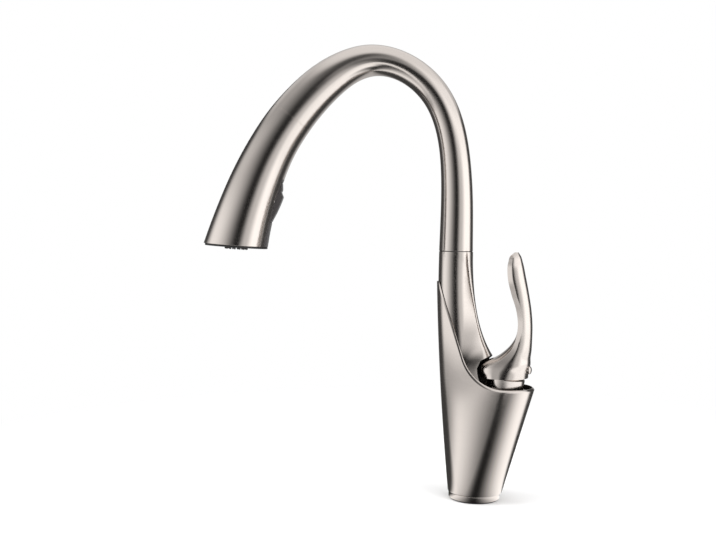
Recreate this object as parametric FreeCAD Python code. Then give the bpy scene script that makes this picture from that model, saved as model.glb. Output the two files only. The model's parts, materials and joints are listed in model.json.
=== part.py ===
# Pull-out kitchen faucet with a leaning shell body, a gooseneck spout and a side lever.
# Millimetres. Origin at the middle of the base on the deck, +Z up, +X towards the lever.
import FreeCAD
import Part
import math
import os

os.makedirs("parts", exist_ok=True)
V = FreeCAD.Vector

# Clearances
gap_run = 0.05
gap_fit = 0.1
gap_cast = 0.2
gap_free = 0.3
far = 300.0

# Base, deck side
base_r = 22.4
base_top = 6.0
base_round = 0.8
gasket_t = 0.8
gasket_inset = 1.0
shank_r = 16.5
shank_neck_r = 15.4
shank_bore_r = 13.2
shank_length = 50.0
shank_chamfer = 1.0
shank_grip = 14.0

# Column and swivel
column_x = -22.0
column_r = 14.9
seam_z = 216.5
washer_t = 0.6
washer_inset = 0.5
swivel_bore_r = 12.5
swivel_depth = 32.0
spigot_r = 11.6
spigot_bore_r = 9.2
collar_length = 12.0
bearing_h = 5.0
bearing_edge = 1.0
ring_t = 2.2
ring_reach = 0.8
ring_mouth = 5.0
groove_depth = 1.2

# Flare of the column towards the lever
flare_low = 92.0
flare_lap = 0.8
flare_z = 112.0
flare_reach = 23.4
flare_fade = 27.2
flare_least = 0.2
flare_widen = 0.14
flare_swell = 0.08
flare_swell_z = 165.0
flare_back = 0.0008
flare_back_top = 204.0
flare_free_z = 180.0
flare_steps = 14
column_taper = 0.008

# Leaning shell: a circle on the column side, one on the lever side and side arcs that go flat higher up
shell_r0 = 22.6
shell_tip_z = 186.0
shell_tip_r = 16.2
shell_top = 190.0
shell_side_r = 50.0
shell_flat_z = 200.0
shell_bow = 0.35
lever_side_lean = 0.268
lever_side_grow = 0.025
shell_wall = 2.2
shell_wall_tip = 0.55
lever_side_wall = 2.6
rim_z = 101.0
rim_arc_r = 40.0
rim_lean = 23.2
rim_corner_x = 5.8
rim_bevel = 1.5
rim_bevel_side = 0.75
rim_bevel_h = 2.4

# Hose runs inside
hose_r = 5.5
hose_room = 3.0
hose_shift = 16.0
hose_bend_r = 120.0
hose_bend_z = 150.0
hose_join = 2.0

# Cartridge axis, leaning towards the lever side
pivot_x = 24.4
pivot_z = 89.3
axis_lean = 9.0
cart_r = 13.9
cart_bottom = -32.0
cart_top = 2.0
seal_t = 2.0
port_r = 2.4
port_x = -3.0
port_y = 6.0
outlet_x = 6.0
supply_r = 2.6
supply_x = 5.0
supply_y = 5.0
chamber_r = 11.0
chamber_bottom = -26.0
disc_t = 3.5
disc_r = 7.9
disc_slot_r = 2.2
disc_slot_x = 4.6
disc_slot_h = 1.6
rotor_r = 10.7
rotor_bottom = -10.0
rotor_top = 7.0
carrier_gap = 2.0
shelf_h = 9.0
nut_r = 14.4
nut_h = 10.0
nut_notch = 2.0
nut_notch_half = 1.6
nut_notches = 6
cap_r = 15.9
cap_flange_r = 17.8
cap_flange_h = 2.5
cap_edge_h = 20.0
cap_wall = 1.4
cap_hole_r = 10.2
pocket_r = 27.4
pocket_h = 24.0
pocket_roof = [(24.6, 30.5), (13.5, 38.0), (0.0, 47.0)]
stem_half = 3.5
stem_low = -15.5
stem_top = 34.0
stem_shoulder = -10.5
stem_neck_r = 2.0
stem_side = 0.35
stem_swing = 0.9
ball_r = 3.2
ball_room = 0.4
pin_r = 1.5
pin_short = 0.2

# Lever
hub_r = 19.0
hub_edge = 6.0
lever_gap = 0.5
lever_bevel = 0.1
bevel_low = 37.2
bevel_high = 65.7
screw_h = 27.4
screw_r = 2.0
screw_end = 15.0
socket_r = 1.0
socket_depth = 2.5
plug_r = 3.4
plug_seat = 17.0
plug_end = 25.2
plug_round = 1.4
# Lever levels, from the pivot: height, inner place, side edge, half width, inner bow, outer bow
lever_levels = [
    (26.2, -3.4, 7.2, 19.6, 18.9, 18.6),
    (31.7, -1.6, 9.0, 17.6, 17.0, 16.0),
    (37.2, 4.0, 7.8, 15.0, 10.4, 11.6),
    (43.7, 10.0, 5.2, 12.8, 7.6, 9.0),
    (52.7, 13.5, 3.9, 10.8, 3.6, 7.2),
    (65.7, 15.0, 3.2, 9.5, 1.2, 6.6),
    (78.7, 13.2, 3.2, 9.4, 0.8, 7.2),
    (92.7, 8.6, 3.2, 10.0, 0.9, 9.4),
    (107.7, 5.1, 3.2, 10.3, 0.9, 9.6),
    (119.2, 4.8, 3.0, 8.4, 0.8, 7.3),
    (125.3, 6.2, 2.4, 5.4, 0.6, 4.3),
    (127.9, 8.4, 1.4, 2.0, 0.3, 1.3),
]

# Spout centre line in its own plane: distance out from the swivel axis, height over the seam
spout_turn = 28.0
spout_poles = [
    (0.0, washer_t),
    (0.0, 25.5),
    (-1.0, 66.5),
    (11.0, 144.0),
    (80.5, 181.5),
    (142.0, 128.0),
    (175.0, 72.5),
    (189.5, 24.0),
    (194.5, 2.5),
]
spout_wall = 1.6
spout_end = 296.0
spout_end_r = 19.6
neck_r = 12.6
spout_bore_s = 38.0
spout_bore_step = 0.2
# Radius of spout and head at lengths along the centre line
neck_gauge = [
    (0.0, column_r),
    (43.0, 14.1),
    (92.0, 13.0),
    (140.0, neck_r),
    (186.0, 12.8),
    (222.0, 14.8),
    (256.0, 17.6),
    (spout_end, spout_end_r),
    (330.0, 20.9),
    (364.0, 23.2),
    (394.0, 25.5),
]
station_step = 15.0
past_end = 6.0

# Spray head
face_r = 28.0
face_tilt = 3.1
face_over = 9.0
face_over_grow = 0.9
head_wall = 1.8
bumper_inset = 0.4
bumper_t = 1.8
bumper_depth = 5.0
bumper_seat = 1.6
face_plate_r = 21.5
face_plate_low = 1.0
face_plate_t = 3.4
mat_t = 1.5
mat_inset = 1.5
nozzle_r = 1.0
nozzle_drop = 3.8
nozzle_rings = [(8, 5.8), (14, 9.4)]
aerator_r = 3.6
aerator_bore_r = 2.0
aerator_low = 1.4
water_r = 3.5
core_wall = 7.5
dock_r = 12.7
dock_length = 16.0
dock_chamfer = 1.2
dock_flange_t = 4.0
dock_flange_gap = 0.2
dock_flange_inset = 0.4
dock_tail = 14.0
dock_mouth = 0.4
dock_mouth_t = 2.6
dock_wall = 1.8
dock_over = 2.0
hose_nut_r = 8.2
hose_nut_top = 12.0
hose_nut_step = 4.0
hose_nut_room = 0.8
hose_end_gap = 0.25

# Button on the column side of the head, placed by a point on the wall: distance out, height over the seam
wall_out = 160.0
wall_up = 39.5
wall_lean = 14.7
panel_top_half = 7.0
panel_low_half = 14.5
panel_over = 3.0
panel_low = 60.0
panel_depth = 1.1
panel_back = 12.0
button_half = 6.2
button_up = 19.0
button_down = 17.0
button_depth = 3.0
button_gap = 0.4
button_end_gap = 0.6
button_well = 7.0
button_step_x = 13.1
button_valley_x = 11.0
button_crest_x = 7.4
button_edge_z = 0.9
button_step_z = 2.6
button_valley_z = 2.2
button_crest_z = 4.8
button_belly_x = 4.0
button_belly_z = 3.5
button_tail_z = 0.7
pin_x = -1.0
pin_z = -1.6
pin_half = 9.0
button_pin_r = 1.2
plunger_r = 2.6
plunger_x = -12.0
plunger_length = 9.0
plunger_room = 2.6


def tube(r_out, r_in, z0, z1):
    """Ring or tube about the Z axis between two heights."""
    body = Part.makeCylinder(r_out, z1 - z0, V(0, 0, z0))
    if r_in > 0:
        body = body.cut(Part.makeCylinder(r_in, z1 - z0, V(0, 0, z0)))
    return body


def box(x0, x1, y0, y1, z0, z1):
    """Box between two corners."""
    return Part.makeBox(x1 - x0, y1 - y0, z1 - z0, V(x0, y0, z0))


def slab(z0, z1):
    """Wide slab between two heights."""
    return box(-far, far, -far, far, z0, z1)


def rod(p, q, r):
    """Round bar from point p to point q."""
    d = q.sub(p)
    return Part.makeCylinder(r, d.Length, p, d)


def loft(wires):
    """Smooth solid through closed outlines."""
    return Part.makeLoft(wires, True, False)


def egg(z, xa, ra, xb, rb):
    """Outline of two circles on the X axis with their outer tangents, at one height."""
    cb = (ra - rb) / (xb - xa)
    sb = math.sqrt(1 - cb * cb)
    a1 = V(xa + ra * cb, ra * sb, z)
    a2 = V(xa + ra * cb, -ra * sb, z)
    b1 = V(xb + rb * cb, rb * sb, z)
    b2 = V(xb + rb * cb, -rb * sb, z)
    left = Part.Arc(a1, V(xa - ra, 0, z), a2).toShape()
    right = Part.Arc(b2, V(xb + rb, 0, z), b1).toShape()
    near = Part.LineSegment(a2, b2).toShape()
    back = Part.LineSegment(b1, a1).toShape()
    return Part.Wire([left, near, right, back])


def oval(z, xa, ra, xb, rb, side_r):
    """Outline of two circles on the X axis joined by wide side arcs that touch both, at one height."""
    d = xb - xa
    ja = side_r - ra
    jb = side_r - rb
    t = (d * d + ja * ja - jb * jb) / (2 * d)
    h = math.sqrt(ja * ja - t * t)
    to_a = math.atan2(h, -t)
    to_b = math.atan2(h, d - t)
    a1 = V(xa + ra * math.cos(to_a), ra * math.sin(to_a), z)
    b1 = V(xb + rb * math.cos(to_b), rb * math.sin(to_b), z)
    mid = (to_a + to_b) / 2
    m1 = V(xa + t + side_r * math.cos(mid), side_r * math.sin(mid) - h, z)
    a2 = V(a1.x, -a1.y, z)
    b2 = V(b1.x, -b1.y, z)
    m2 = V(m1.x, -m1.y, z)
    left = Part.Arc(a1, V(xa - ra, 0, z), a2).toShape()
    near = Part.Arc(a2, m2, b2).toShape()
    right = Part.Arc(b2, V(xb + rb, 0, z), b1).toShape()
    back = Part.Arc(b1, m1, a1).toShape()
    return Part.Wire([left, near, right, back])


def shell_outline(z, inset_a, inset_b):
    """Outline of the leaning shell at one height, moved in by a little."""
    t = z / shell_tip_z
    xa = column_x * t * (1 + shell_bow * (1 - t))
    ra = shell_r0 + (shell_tip_r - shell_r0) * t
    xb = lever_side_lean * z
    rb = shell_r0 + lever_side_grow * z
    side_r = shell_side_r / (1 - z / shell_flat_z) - (inset_a + inset_b) / 2
    return oval(z, xa, ra - inset_a, xb, rb - inset_b, side_r)


def shell_form(inset_a, inset_b, thin):
    """Whole leaning form, moved in by a gap on each side and by the wall where thin is 1."""
    levels = 3
    wires = []
    for k in range(levels + 1):
        z = base_top + (shell_top - base_top) * k / levels
        wall = shell_wall + (shell_wall_tip - shell_wall) * z / shell_tip_z
        wires.append(shell_outline(z, inset_a + thin * wall, inset_b + thin * lever_side_wall))
    return loft(wires)


def rim_region(drop):
    """Slab under the rim line: flat on the lever side, an arc, then a steep straight line."""
    lean = math.radians(rim_lean)
    half = (math.pi / 2 - lean) / 2
    reach = rim_arc_r * math.tan(half)
    z = rim_z - drop
    x = rim_corner_x - drop * math.tan(half)
    start = V(x + reach, 0, z)
    centre = V(x + reach, 0, z + rim_arc_r)
    mid = centre.add(V(-rim_arc_r * math.sin(half), 0, -rim_arc_r * math.cos(half)))
    end = centre.add(V(-rim_arc_r * math.cos(lean), 0, -rim_arc_r * math.sin(lean)))
    top = end.add(V(-shell_top * math.sin(lean), 0, shell_top * math.cos(lean)))
    outline = Part.Wire([
        Part.LineSegment(V(far, 0, z), start).toShape(),
        Part.Arc(start, mid, end).toShape(),
        Part.LineSegment(end, top).toShape(),
        Part.LineSegment(top, V(-far, 0, top.z)).toShape(),
        Part.LineSegment(V(-far, 0, top.z), V(-far, 0, 0)).toShape(),
        Part.LineSegment(V(-far, 0, 0), V(far, 0, 0)).toShape(),
        Part.LineSegment(V(far, 0, 0), V(far, 0, z)).toShape(),
    ])
    region = Part.Face(outline).extrude(V(0, 2 * far, 0))
    region.translate(V(0, -far, 0))
    return region


def on_axis(shape):
    """From the cartridge's own axis to its place in the body."""
    s = shape.copy()
    s.rotate(V(0, 0, 0), V(0, 1, 0), axis_lean)
    s.translate(V(pivot_x, 0, pivot_z))
    return s


def on_lever(shape):
    """From the lever's own upright axis to its place over the pivot."""
    s = shape.copy()
    s.translate(V(pivot_x, 0, pivot_z))
    return s


def on_column(shape):
    """From the origin's axis to the column's axis."""
    s = shape.copy()
    s.translate(V(column_x, 0, 0))
    return s


def on_spout(shape):
    """From the spout's own plane to its resting turn about the column."""
    s = shape.copy()
    s.rotate(V(0, 0, 0), V(0, 0, 1), spout_turn)
    return on_column(s)


def round_edges(shape, z, wide):
    """Edges of a turned piece that lie at one height and are at least so wide."""
    return [e for e in shape.Edges if abs(e.BoundBox.ZMin - z) < gap_run
            and abs(e.BoundBox.ZMax - z) < gap_run and e.BoundBox.XLength > wide]


def save(name, shape):
    """Write one sub-part."""
    shape.exportStep("parts/" + name + ".step")


# Base ring and gasket on the deck
gasket = tube(base_r - gasket_inset, shank_r + gap_free, 0, gasket_t)
ring = tube(base_r, shank_neck_r + gap_fit, gasket_t, base_top)
ring = ring.makeFillet(base_round, round_edges(ring, gasket_t, base_r + shank_r))
save("deck_gasket", gasket)
save("base_ring", ring)

# Threaded shank through the deck, screwed into the body
shank_top = base_top + shank_grip
shank = tube(shank_r, shank_bore_r, -shank_length, 0)
shank = shank.fuse(tube(shank_neck_r, shank_bore_r, 0, shank_top)).removeSplitter()
shank = shank.makeChamfer(shank_chamfer, round_edges(shank, -shank_length, shank_r + shank_bore_r))
save("shank", shank)

# Leaning shell, open at the rim, with a bevelled lip
outer = shell_form(0.0, 0.0, 0)
lip = shell_form(rim_bevel_side, rim_bevel, 0)
skirt = outer.common(rim_region(rim_bevel_h)).fuse(lip.common(rim_region(0.0))).removeSplitter()
skirt = skirt.cut(shell_form(0.0, 0.0, 1))
save("skirt", skirt)


def flare_outline(z):
    """Column outline at one height, drawn out towards the lever side as it comes down."""
    xa = column_x + flare_back * max(flare_back_top - z, 0.0) ** 2
    ra = column_r + column_taper * (seam_z - z)
    reach = flare_reach * (math.exp((flare_z - z) / flare_fade) - math.exp((flare_z - seam_z) / flare_fade))
    swell = flare_swell * max(flare_swell_z - z, 0.0)
    reach = max(reach - swell, flare_least)
    return egg(z, xa, ra + swell, xa + reach, ra + swell + flare_widen * reach)


# Body casting: core under the shell, flare and column above it, pocket and bores
room = shell_form(gap_cast, gap_free, 1)
core = room.common(slab(base_top, flare_low + flare_lap))
flare_rise = (seam_z - flare_low) / flare_steps
flare = loft([flare_outline(flare_low + flare_rise * k) for k in range(flare_steps + 1)])
flare = flare.cut(slab(flare_low, flare_free_z).cut(room))
body = core.fuse(flare).removeSplitter()
pocket_side = [(0.0, shelf_h), (pocket_r, shelf_h), (pocket_r, pocket_h)] + pocket_roof
pocket_wire = Part.makePolygon([V(r, 0, z) for r, z in pocket_side + pocket_side[:1]])
pocket = Part.Face(pocket_wire).revolve(V(0, 0, 0), V(0, 0, 1), 360)
body = body.cut(on_axis(pocket))
body = body.cut(on_axis(box(0, far, -far, far, shelf_h, far)))
body = body.cut(on_axis(tube(cart_r + gap_free, 0, cart_bottom, shelf_h)))
body = body.cut(on_axis(tube(nut_r + gap_fit, 0, cart_top, shelf_h + gap_free)))
body = body.cut(tube(shank_neck_r + gap_fit, 0, 0, shank_top))
swivel_low = seam_z - swivel_depth
ring_z = swivel_low + bearing_h + 2 * bearing_edge
body = body.cut(on_column(tube(swivel_bore_r, 0, swivel_low, seam_z)))
ring_groove = tube(swivel_bore_r + groove_depth, 0, ring_z - gap_free, ring_z + ring_t + gap_free)
body = body.cut(on_column(ring_groove))

# Hose run inside the body: down the column, an easy double bend, then down the shank
bend = math.acos(1 - hose_shift / (2 * hose_bend_r))
run_drop = hose_bend_r * math.sin(bend)
bow_x = hose_bend_r * (1 - math.cos(bend / 2))
bow_z = hose_bend_r * math.sin(bend / 2)
hose_x = column_x + hose_shift
h0 = V(column_x, 0, seam_z - hose_join)
h1 = V(column_x, 0, hose_bend_z)
h2 = V(column_x + hose_shift / 2, 0, hose_bend_z - run_drop)
h3 = V(hose_x, 0, hose_bend_z - 2 * run_drop)
h4 = V(hose_x, 0, -shank_length)
hose_line = Part.Wire([
    Part.LineSegment(h0, h1).toShape(),
    Part.Arc(h1, V(column_x + bow_x, 0, h1.z - bow_z), h2).toShape(),
    Part.Arc(h2, V(hose_x - bow_x, 0, h3.z + bow_z), h3).toShape(),
    Part.LineSegment(h3, h4).toShape(),
])


def along_hose(r):
    """Round section carried along the hose run."""
    profile = Part.Wire([Part.Circle(h0, V(0, 0, -1), r).toShape()])
    return hose_line.makePipeShell([profile], True, False)


body = body.cut(along_hose(hose_r + hose_room))
for side in (-1, 1):
    inlet = V(pivot_x - outlet_x, side * port_y, pivot_z + cart_bottom + seal_t)
    body = body.cut(rod(inlet, V(supply_x, side * supply_y, shank_top - supply_r), supply_r))
save("body", body)
save("hose_lower", along_hose(hose_r))

# Cartridge, in its own axis frame
seal = tube(cart_r - gap_free, 0, cart_bottom, cart_bottom + seal_t)
housing = tube(cart_r, 0, cart_bottom + seal_t, cart_top)
housing = housing.cut(tube(chamber_r, 0, chamber_bottom, cart_top))
fixed_disc = tube(chamber_r - gap_fit, 0, chamber_bottom, chamber_bottom + disc_t)
for x, y in ((port_x, port_y), (port_x, -port_y), (outlet_x, 0.0)):
    hole = Part.makeCylinder(port_r, cart_top - cart_bottom, V(x, y, cart_bottom))
    seal = seal.cut(hole)
    housing = housing.cut(hole)
    fixed_disc = fixed_disc.cut(hole)
save("cartridge_seal", on_axis(seal))
save("cartridge_housing", on_axis(housing))
save("fixed_disc", on_axis(fixed_disc))

# Moving disc with its carrier, driven by the ball on the stem
lean = math.radians(axis_lean)
ball_x = -stem_low * math.sin(lean)
disc_low = chamber_bottom + disc_t + gap_run
carrier_top = rotor_bottom - carrier_gap
moving = Part.makeCylinder(disc_r, carrier_top - disc_low, V(ball_x, 0, disc_low))
moving = moving.cut(Part.makeCylinder(ball_r + ball_room, far, V(ball_x, 0, disc_low + disc_t)))
moving = moving.cut(Part.makeCylinder(disc_slot_r, disc_slot_h, V(ball_x - disc_slot_x, 0, disc_low)))
save("moving_disc", on_axis(moving))

# Rotor with the slot that the stem swings in, and the stem's pin
rotor = tube(rotor_r, 0, rotor_bottom, rotor_top)
slot_x = stem_half + max(-rotor_bottom, rotor_top) * math.tan(lean) + stem_swing
slot_y = stem_half + stem_side
rotor = rotor.cut(box(-slot_x, slot_x, -slot_y, slot_y, rotor_bottom, rotor_top))
pin_end = V(0, rotor_r - pin_short, 0)
rotor = rotor.cut(rod(V(0, -rotor_r, 0), V(0, rotor_r, 0), pin_r))
save("cartridge_rotor", on_axis(rotor))
save("stem_pin", on_axis(rod(pin_end.negative(), pin_end, pin_r)))

# Bonnet nut with spanner notches
nut_top = cart_top + nut_h
nut = tube(nut_r, chamber_r + lever_gap, cart_top, nut_top)
for k in range(nut_notches):
    notch = box(nut_r - nut_notch, far, -nut_notch_half, nut_notch_half, nut_top - nut_notch, far)
    notch.rotate(V(0, 0, 0), V(0, 0, 1), 360.0 * k / nut_notches)
    nut = nut.cut(notch)
save("bonnet_nut", on_axis(nut))

# Bonnet cap: flange, short cylinder and a dome struck from the pivot
dome_r = math.hypot(cap_r, cap_edge_h)
cap = tube(cap_r, 0, shelf_h, dome_r).common(Part.makeSphere(dome_r))
hollow = tube(nut_r + gap_free, 0, shelf_h, dome_r).common(Part.makeSphere(dome_r - cap_wall))
cap = cap.fuse(tube(cap_flange_r, 0, shelf_h, shelf_h + cap_flange_h)).removeSplitter()
cap = cap.cut(hollow).cut(tube(cap_hole_r, 0, shelf_h, far))
save("bonnet_cap", on_axis(cap))

# Stem: square bar in the lever, pivot hole, neck and ball
stem = box(-stem_half, stem_half, -stem_half, stem_half, stem_shoulder, stem_top)
stem = stem.fuse(tube(stem_neck_r, 0, stem_low, stem_shoulder))
stem = stem.fuse(Part.makeSphere(ball_r, V(0, 0, stem_low))).removeSplitter()
stem = stem.cut(rod(V(0, -rotor_r, 0), V(0, rotor_r, 0), pin_r + gap_run))
save("cartridge_stem", on_lever(stem))


def lever_outline(z, x, edge, half, inner_bow, outer_bow):
    """One level of the lever: inner arc, two short side edges that bevel on the blade, and an outer arc."""
    rise = min(max((z - bevel_low) / (bevel_high - bevel_low), 0.0), 1.0)
    inner_half = half * (1 - lever_bevel * rise)
    a = V(x, -inner_half, z)
    b = V(x, inner_half, z)
    c = V(x + edge, half, z)
    d = V(x + edge, -half, z)
    return Part.Wire([
        Part.Arc(a, V(x - inner_bow, 0, z), b).toShape(),
        Part.LineSegment(b, c).toShape(),
        Part.Arc(c, V(x + edge + outer_bow, 0, z), d).toShape(),
        Part.LineSegment(d, a).toShape(),
    ])


# Lever, standing upright when closed, hollowed under its hub to clear the dome
hub_bow = hub_r - hub_edge / 2
hub_half = math.sqrt(hub_r ** 2 - (hub_edge / 2) ** 2)
hub = (cap_edge_h, -hub_edge / 2, hub_edge, hub_half, hub_bow, hub_bow)
lever = loft([lever_outline(*level) for level in [hub] + lever_levels])
lever = lever.cut(Part.makeSphere(dome_r + lever_gap))
seat = stem_half + gap_run
lever = lever.cut(box(-seat, seat, -seat, seat, 0, stem_top))
lever = lever.cut(rod(V(0, 0, screw_h), V(plug_seat, 0, screw_h), screw_r))
lever = lever.cut(rod(V(plug_seat, 0, screw_h), V(far, 0, screw_h), plug_r))
save("lever", on_lever(lever))
screw = rod(V(stem_half, 0, screw_h), V(screw_end, 0, screw_h), screw_r)
screw = screw.cut(rod(V(screw_end - socket_depth, 0, screw_h), V(screw_end, 0, screw_h), socket_r))
save("set_screw", on_lever(screw))
plug = rod(V(plug_seat, 0, screw_h), V(plug_end, 0, screw_h), plug_r)
plug = plug.makeFillet(plug_round, [e for e in plug.Edges if e.BoundBox.XMin > plug_end - gap_run])
save("screw_plug", on_lever(plug))

# Centre line of spout and head, and the radius law along it
line = Part.BSplineCurve()
line.buildFromPoles([V(-out, 0, seam_z + up) for out, up in spout_poles], False, 3)
line_length = line.length()
head_end = line_length + face_over
gauge = neck_gauge + [(line_length, face_r - gap_cast), (head_end, face_r - gap_cast + face_over_grow)]


def station(s):
    """Point and direction at a length along the centre line, straight on past its end."""
    u = line.parameterAtDistance(min(s, line_length), line.FirstParameter)
    d = line.tangent(u)[0]
    over = max(s - line_length, 0.0)
    return line.value(u).add(V(d.x * over, 0, d.z * over)), d


def slope_at(k):
    """Slope of the radius law at one gauge point, from its neighbours."""
    s0, r0 = gauge[max(k - 1, 0)]
    s1, r1 = gauge[min(k + 1, len(gauge) - 1)]
    return (r1 - r0) / (s1 - s0)


def radius_at(s):
    """Radius at a length along the centre line: cubic pieces through the gauge points."""
    k = max(i for i in range(len(gauge) - 1) if gauge[i][0] <= s)
    s0, r0 = gauge[k]
    s1, r1 = gauge[k + 1]
    t = (s - s0) / (s1 - s0)
    rise = r1 - r0
    m0 = slope_at(k) * (s1 - s0)
    m1 = slope_at(k + 1) * (s1 - s0)
    return r0 + t * (m0 + t * (3 * rise - 2 * m0 - m1 + t * (m0 + m1 - 2 * rise)))


def circle_at(s, r):
    """Round outline square to the centre line."""
    p, d = station(s)
    edge = Part.Circle(V(0, 0, 0), V(0, 0, 1), r).toShape()
    edge.rotate(V(0, 0, 0), V(0, 1, 0), math.degrees(math.atan2(d.x, d.z)))
    edge.translate(p)
    return Part.Wire([edge])


def steps(s0, s1):
    """Even stations between two lengths."""
    n = math.ceil((s1 - s0) / station_step)
    return [s0 + (s1 - s0) * k / n for k in range(n + 1)]


def carried(s0, s1, inset):
    """Solid of the radius law along the centre line, moved in by a wall."""
    return loft([circle_at(s, radius_at(s) - inset) for s in steps(s0, s1)])


def bar_along(s0, s1, r):
    """Round bar along the centre line."""
    return loft([circle_at(s, r) for s in steps(s0, s1)])


# Spout, hollow, with a straight bore for the spigot
foot_z = seam_z + washer_t
lower_r = radius_at(spout_bore_s) - spout_wall - spout_bore_step
spout = carried(0.0, spout_end, 0.0)
spout = spout.cut(carried(spout_bore_s, spout_end + past_end, spout_wall))
spout = spout.cut(tube(lower_r, 0, seam_z, foot_z + spout_bore_s + spout_wall))
save("spout", on_spout(spout))

# Swivel: washer on the column, spigot in the spout, two bearings and a snap ring
save("glide_washer", on_column(tube(column_r - washer_inset, swivel_bore_r, seam_z, foot_z)))
spigot = tube(spigot_r, spigot_bore_r, swivel_low + bearing_edge, foot_z)
collar = tube(lower_r - gap_run, spigot_bore_r, foot_z, foot_z + collar_length)
spigot = spigot.fuse(collar).removeSplitter()
spigot = spigot.cut(tube(spigot_r + groove_depth, spigot_r - groove_depth, ring_z, ring_z + ring_t))
save("spout_spigot", on_spout(spigot))
bearing_r = swivel_bore_r - gap_free
bearing_z = ring_z + ring_t + bearing_edge
save("lower_bearing", on_spout(tube(bearing_r, spigot_r, bearing_z, bearing_z + bearing_h)))
upper_z = seam_z - bearing_edge
save("upper_bearing", on_spout(tube(bearing_r, spigot_r, upper_z - bearing_h, upper_z)))
snap = tube(swivel_bore_r + ring_reach, spigot_r - ring_reach, ring_z + gap_run, ring_z + ring_t - gap_run)
snap = snap.cut(box(0, far, -ring_mouth / 2, ring_mouth / 2, ring_z, ring_z + ring_t))
save("snap_ring", on_spout(snap))

# Docking frame at the spout's end: its own Z runs back into the spout
dock_p, dock_d = station(spout_end)
dock_angle = math.degrees(math.atan2(-dock_d.x, -dock_d.z))


def at_dock(shape):
    """From the docking axis to the spout's end, in the spout's own plane."""
    s = shape.copy()
    s.rotate(V(0, 0, 0), V(0, 1, 0), dock_angle)
    s.translate(dock_p)
    return s


# Socket in the spout, plug and hose nut on the head
socket_in = dock_r + gap_free
socket_out = spout_end_r - spout_wall - gap_free
mouth_top = dock_mouth + dock_mouth_t
socket = tube(socket_out, socket_in, dock_mouth, mouth_top)
sleeve = tube(socket_in + dock_wall, socket_in, mouth_top, dock_length + dock_over)
socket = socket.fuse(sleeve).removeSplitter()
save("dock_socket", on_spout(at_dock(socket)))
nut_seat = hose_nut_r + gap_fit
flange_r = spout_end_r - head_wall - dock_flange_inset
plug_body = tube(dock_r, nut_seat, -dock_tail, dock_length)
plug_body = plug_body.fuse(tube(flange_r, nut_seat, -dock_flange_t, -dock_flange_gap)).removeSplitter()
plug_body = plug_body.makeChamfer(dock_chamfer, round_edges(plug_body, dock_length, dock_r + nut_seat))
save("dock_plug", on_spout(at_dock(plug_body)))
hose_nut = tube(hose_nut_r, water_r, -dock_tail, -hose_nut_step)
hose_grip = tube(hose_nut_r, hose_r + hose_nut_room, -hose_nut_step, hose_nut_top)
hose_nut = hose_nut.fuse(hose_grip).removeSplitter()
save("hose_nut", on_spout(at_dock(hose_nut)))

# Hose inside the spout, from the swivel round the gooseneck to the head
hose_top = bar_along(0.0, spout_end + hose_nut_step - hose_end_gap, hose_r)
hose_top = hose_top.fuse(tube(hose_r, 0, seam_z - hose_join + gap_cast, foot_z)).removeSplitter()
save("pullout_hose", on_spout(hose_top))

# Spray head shell, cut off along the tilted face
face_p = station(line_length)[0]


def on_face(shape):
    """From the spray face's own axis, Z into the head, to its place."""
    s = shape.copy()
    s.rotate(V(0, 0, 0), V(0, 1, 0), face_tilt)
    s.translate(face_p)
    return s


def on_wall(shape):
    """From the button's own frame, X down the head and Z out of it, to the head's column side."""
    s = shape.copy()
    s.rotate(V(0, 0, 0), V(0, 1, 0), 90 + wall_lean)
    s.translate(V(-wall_out, 0, seam_z + wall_up))
    return s


head_outer = carried(spout_end, head_end, 0.0).common(on_face(slab(0, far)))
head_inner = carried(spout_end, head_end, head_wall)
head_skin = carried(spout_end, head_end, panel_depth)

# Panel let into the shell, with the well that the rocker sits in
panel_top = -button_up - panel_over
panel_outline = Part.makePolygon([
    V(panel_top, -panel_top_half, -panel_back),
    V(panel_low, -panel_low_half, -panel_back),
    V(panel_low, panel_low_half, -panel_back),
    V(panel_top, panel_top_half, -panel_back),
    V(panel_top, -panel_top_half, -panel_back),
])
panel_slab = on_wall(Part.Face(panel_outline).extrude(V(0, 0, far)))
well_y = button_half + button_gap
well_top = -button_up - button_end_gap
well_low = button_down + button_end_gap
well = on_wall(box(well_top, well_low, -well_y, well_y, -button_well, far))
button_pin = on_wall(rod(V(pin_x, -pin_half, pin_z), V(pin_x, pin_half, pin_z), button_pin_r))
panel = head_outer.cut(head_skin).common(panel_slab)
head = head_outer.cut(head_inner).cut(panel).cut(well).cut(button_pin)
panel = panel.cut(well).cut(button_pin)
save("head_shell", on_spout(head))
save("button_panel", on_spout(panel))
save("button_pin", on_spout(button_pin))

# Rocker: a stepped thumb rest above, a bellied key below
edge_top = V(-button_up, 0, button_edge_z)
step = V(-button_step_x, 0, button_step_z)
valley = V(-button_valley_x, 0, button_valley_z)
crest = V(-button_crest_x, 0, button_crest_z)
tail = V(button_down, 0, button_tail_z)
under_tail = V(button_down, 0, -button_depth)
under_top = V(-button_up, 0, -button_depth)
button_side = Part.Wire([
    Part.LineSegment(under_top, edge_top).toShape(),
    Part.LineSegment(edge_top, step).toShape(),
    Part.LineSegment(step, valley).toShape(),
    Part.LineSegment(valley, crest).toShape(),
    Part.Arc(crest, V(button_belly_x, 0, button_belly_z), tail).toShape(),
    Part.LineSegment(tail, under_tail).toShape(),
    Part.LineSegment(under_tail, under_top).toShape(),
])
button = Part.Face(button_side).extrude(V(0, 2 * button_half, 0))
button.translate(V(0, -button_half, 0))
button = button.cut(rod(V(pin_x, -pin_half, pin_z), V(pin_x, pin_half, pin_z), button_pin_r + gap_run))
save("rocker_button", on_spout(on_wall(button)))

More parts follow.
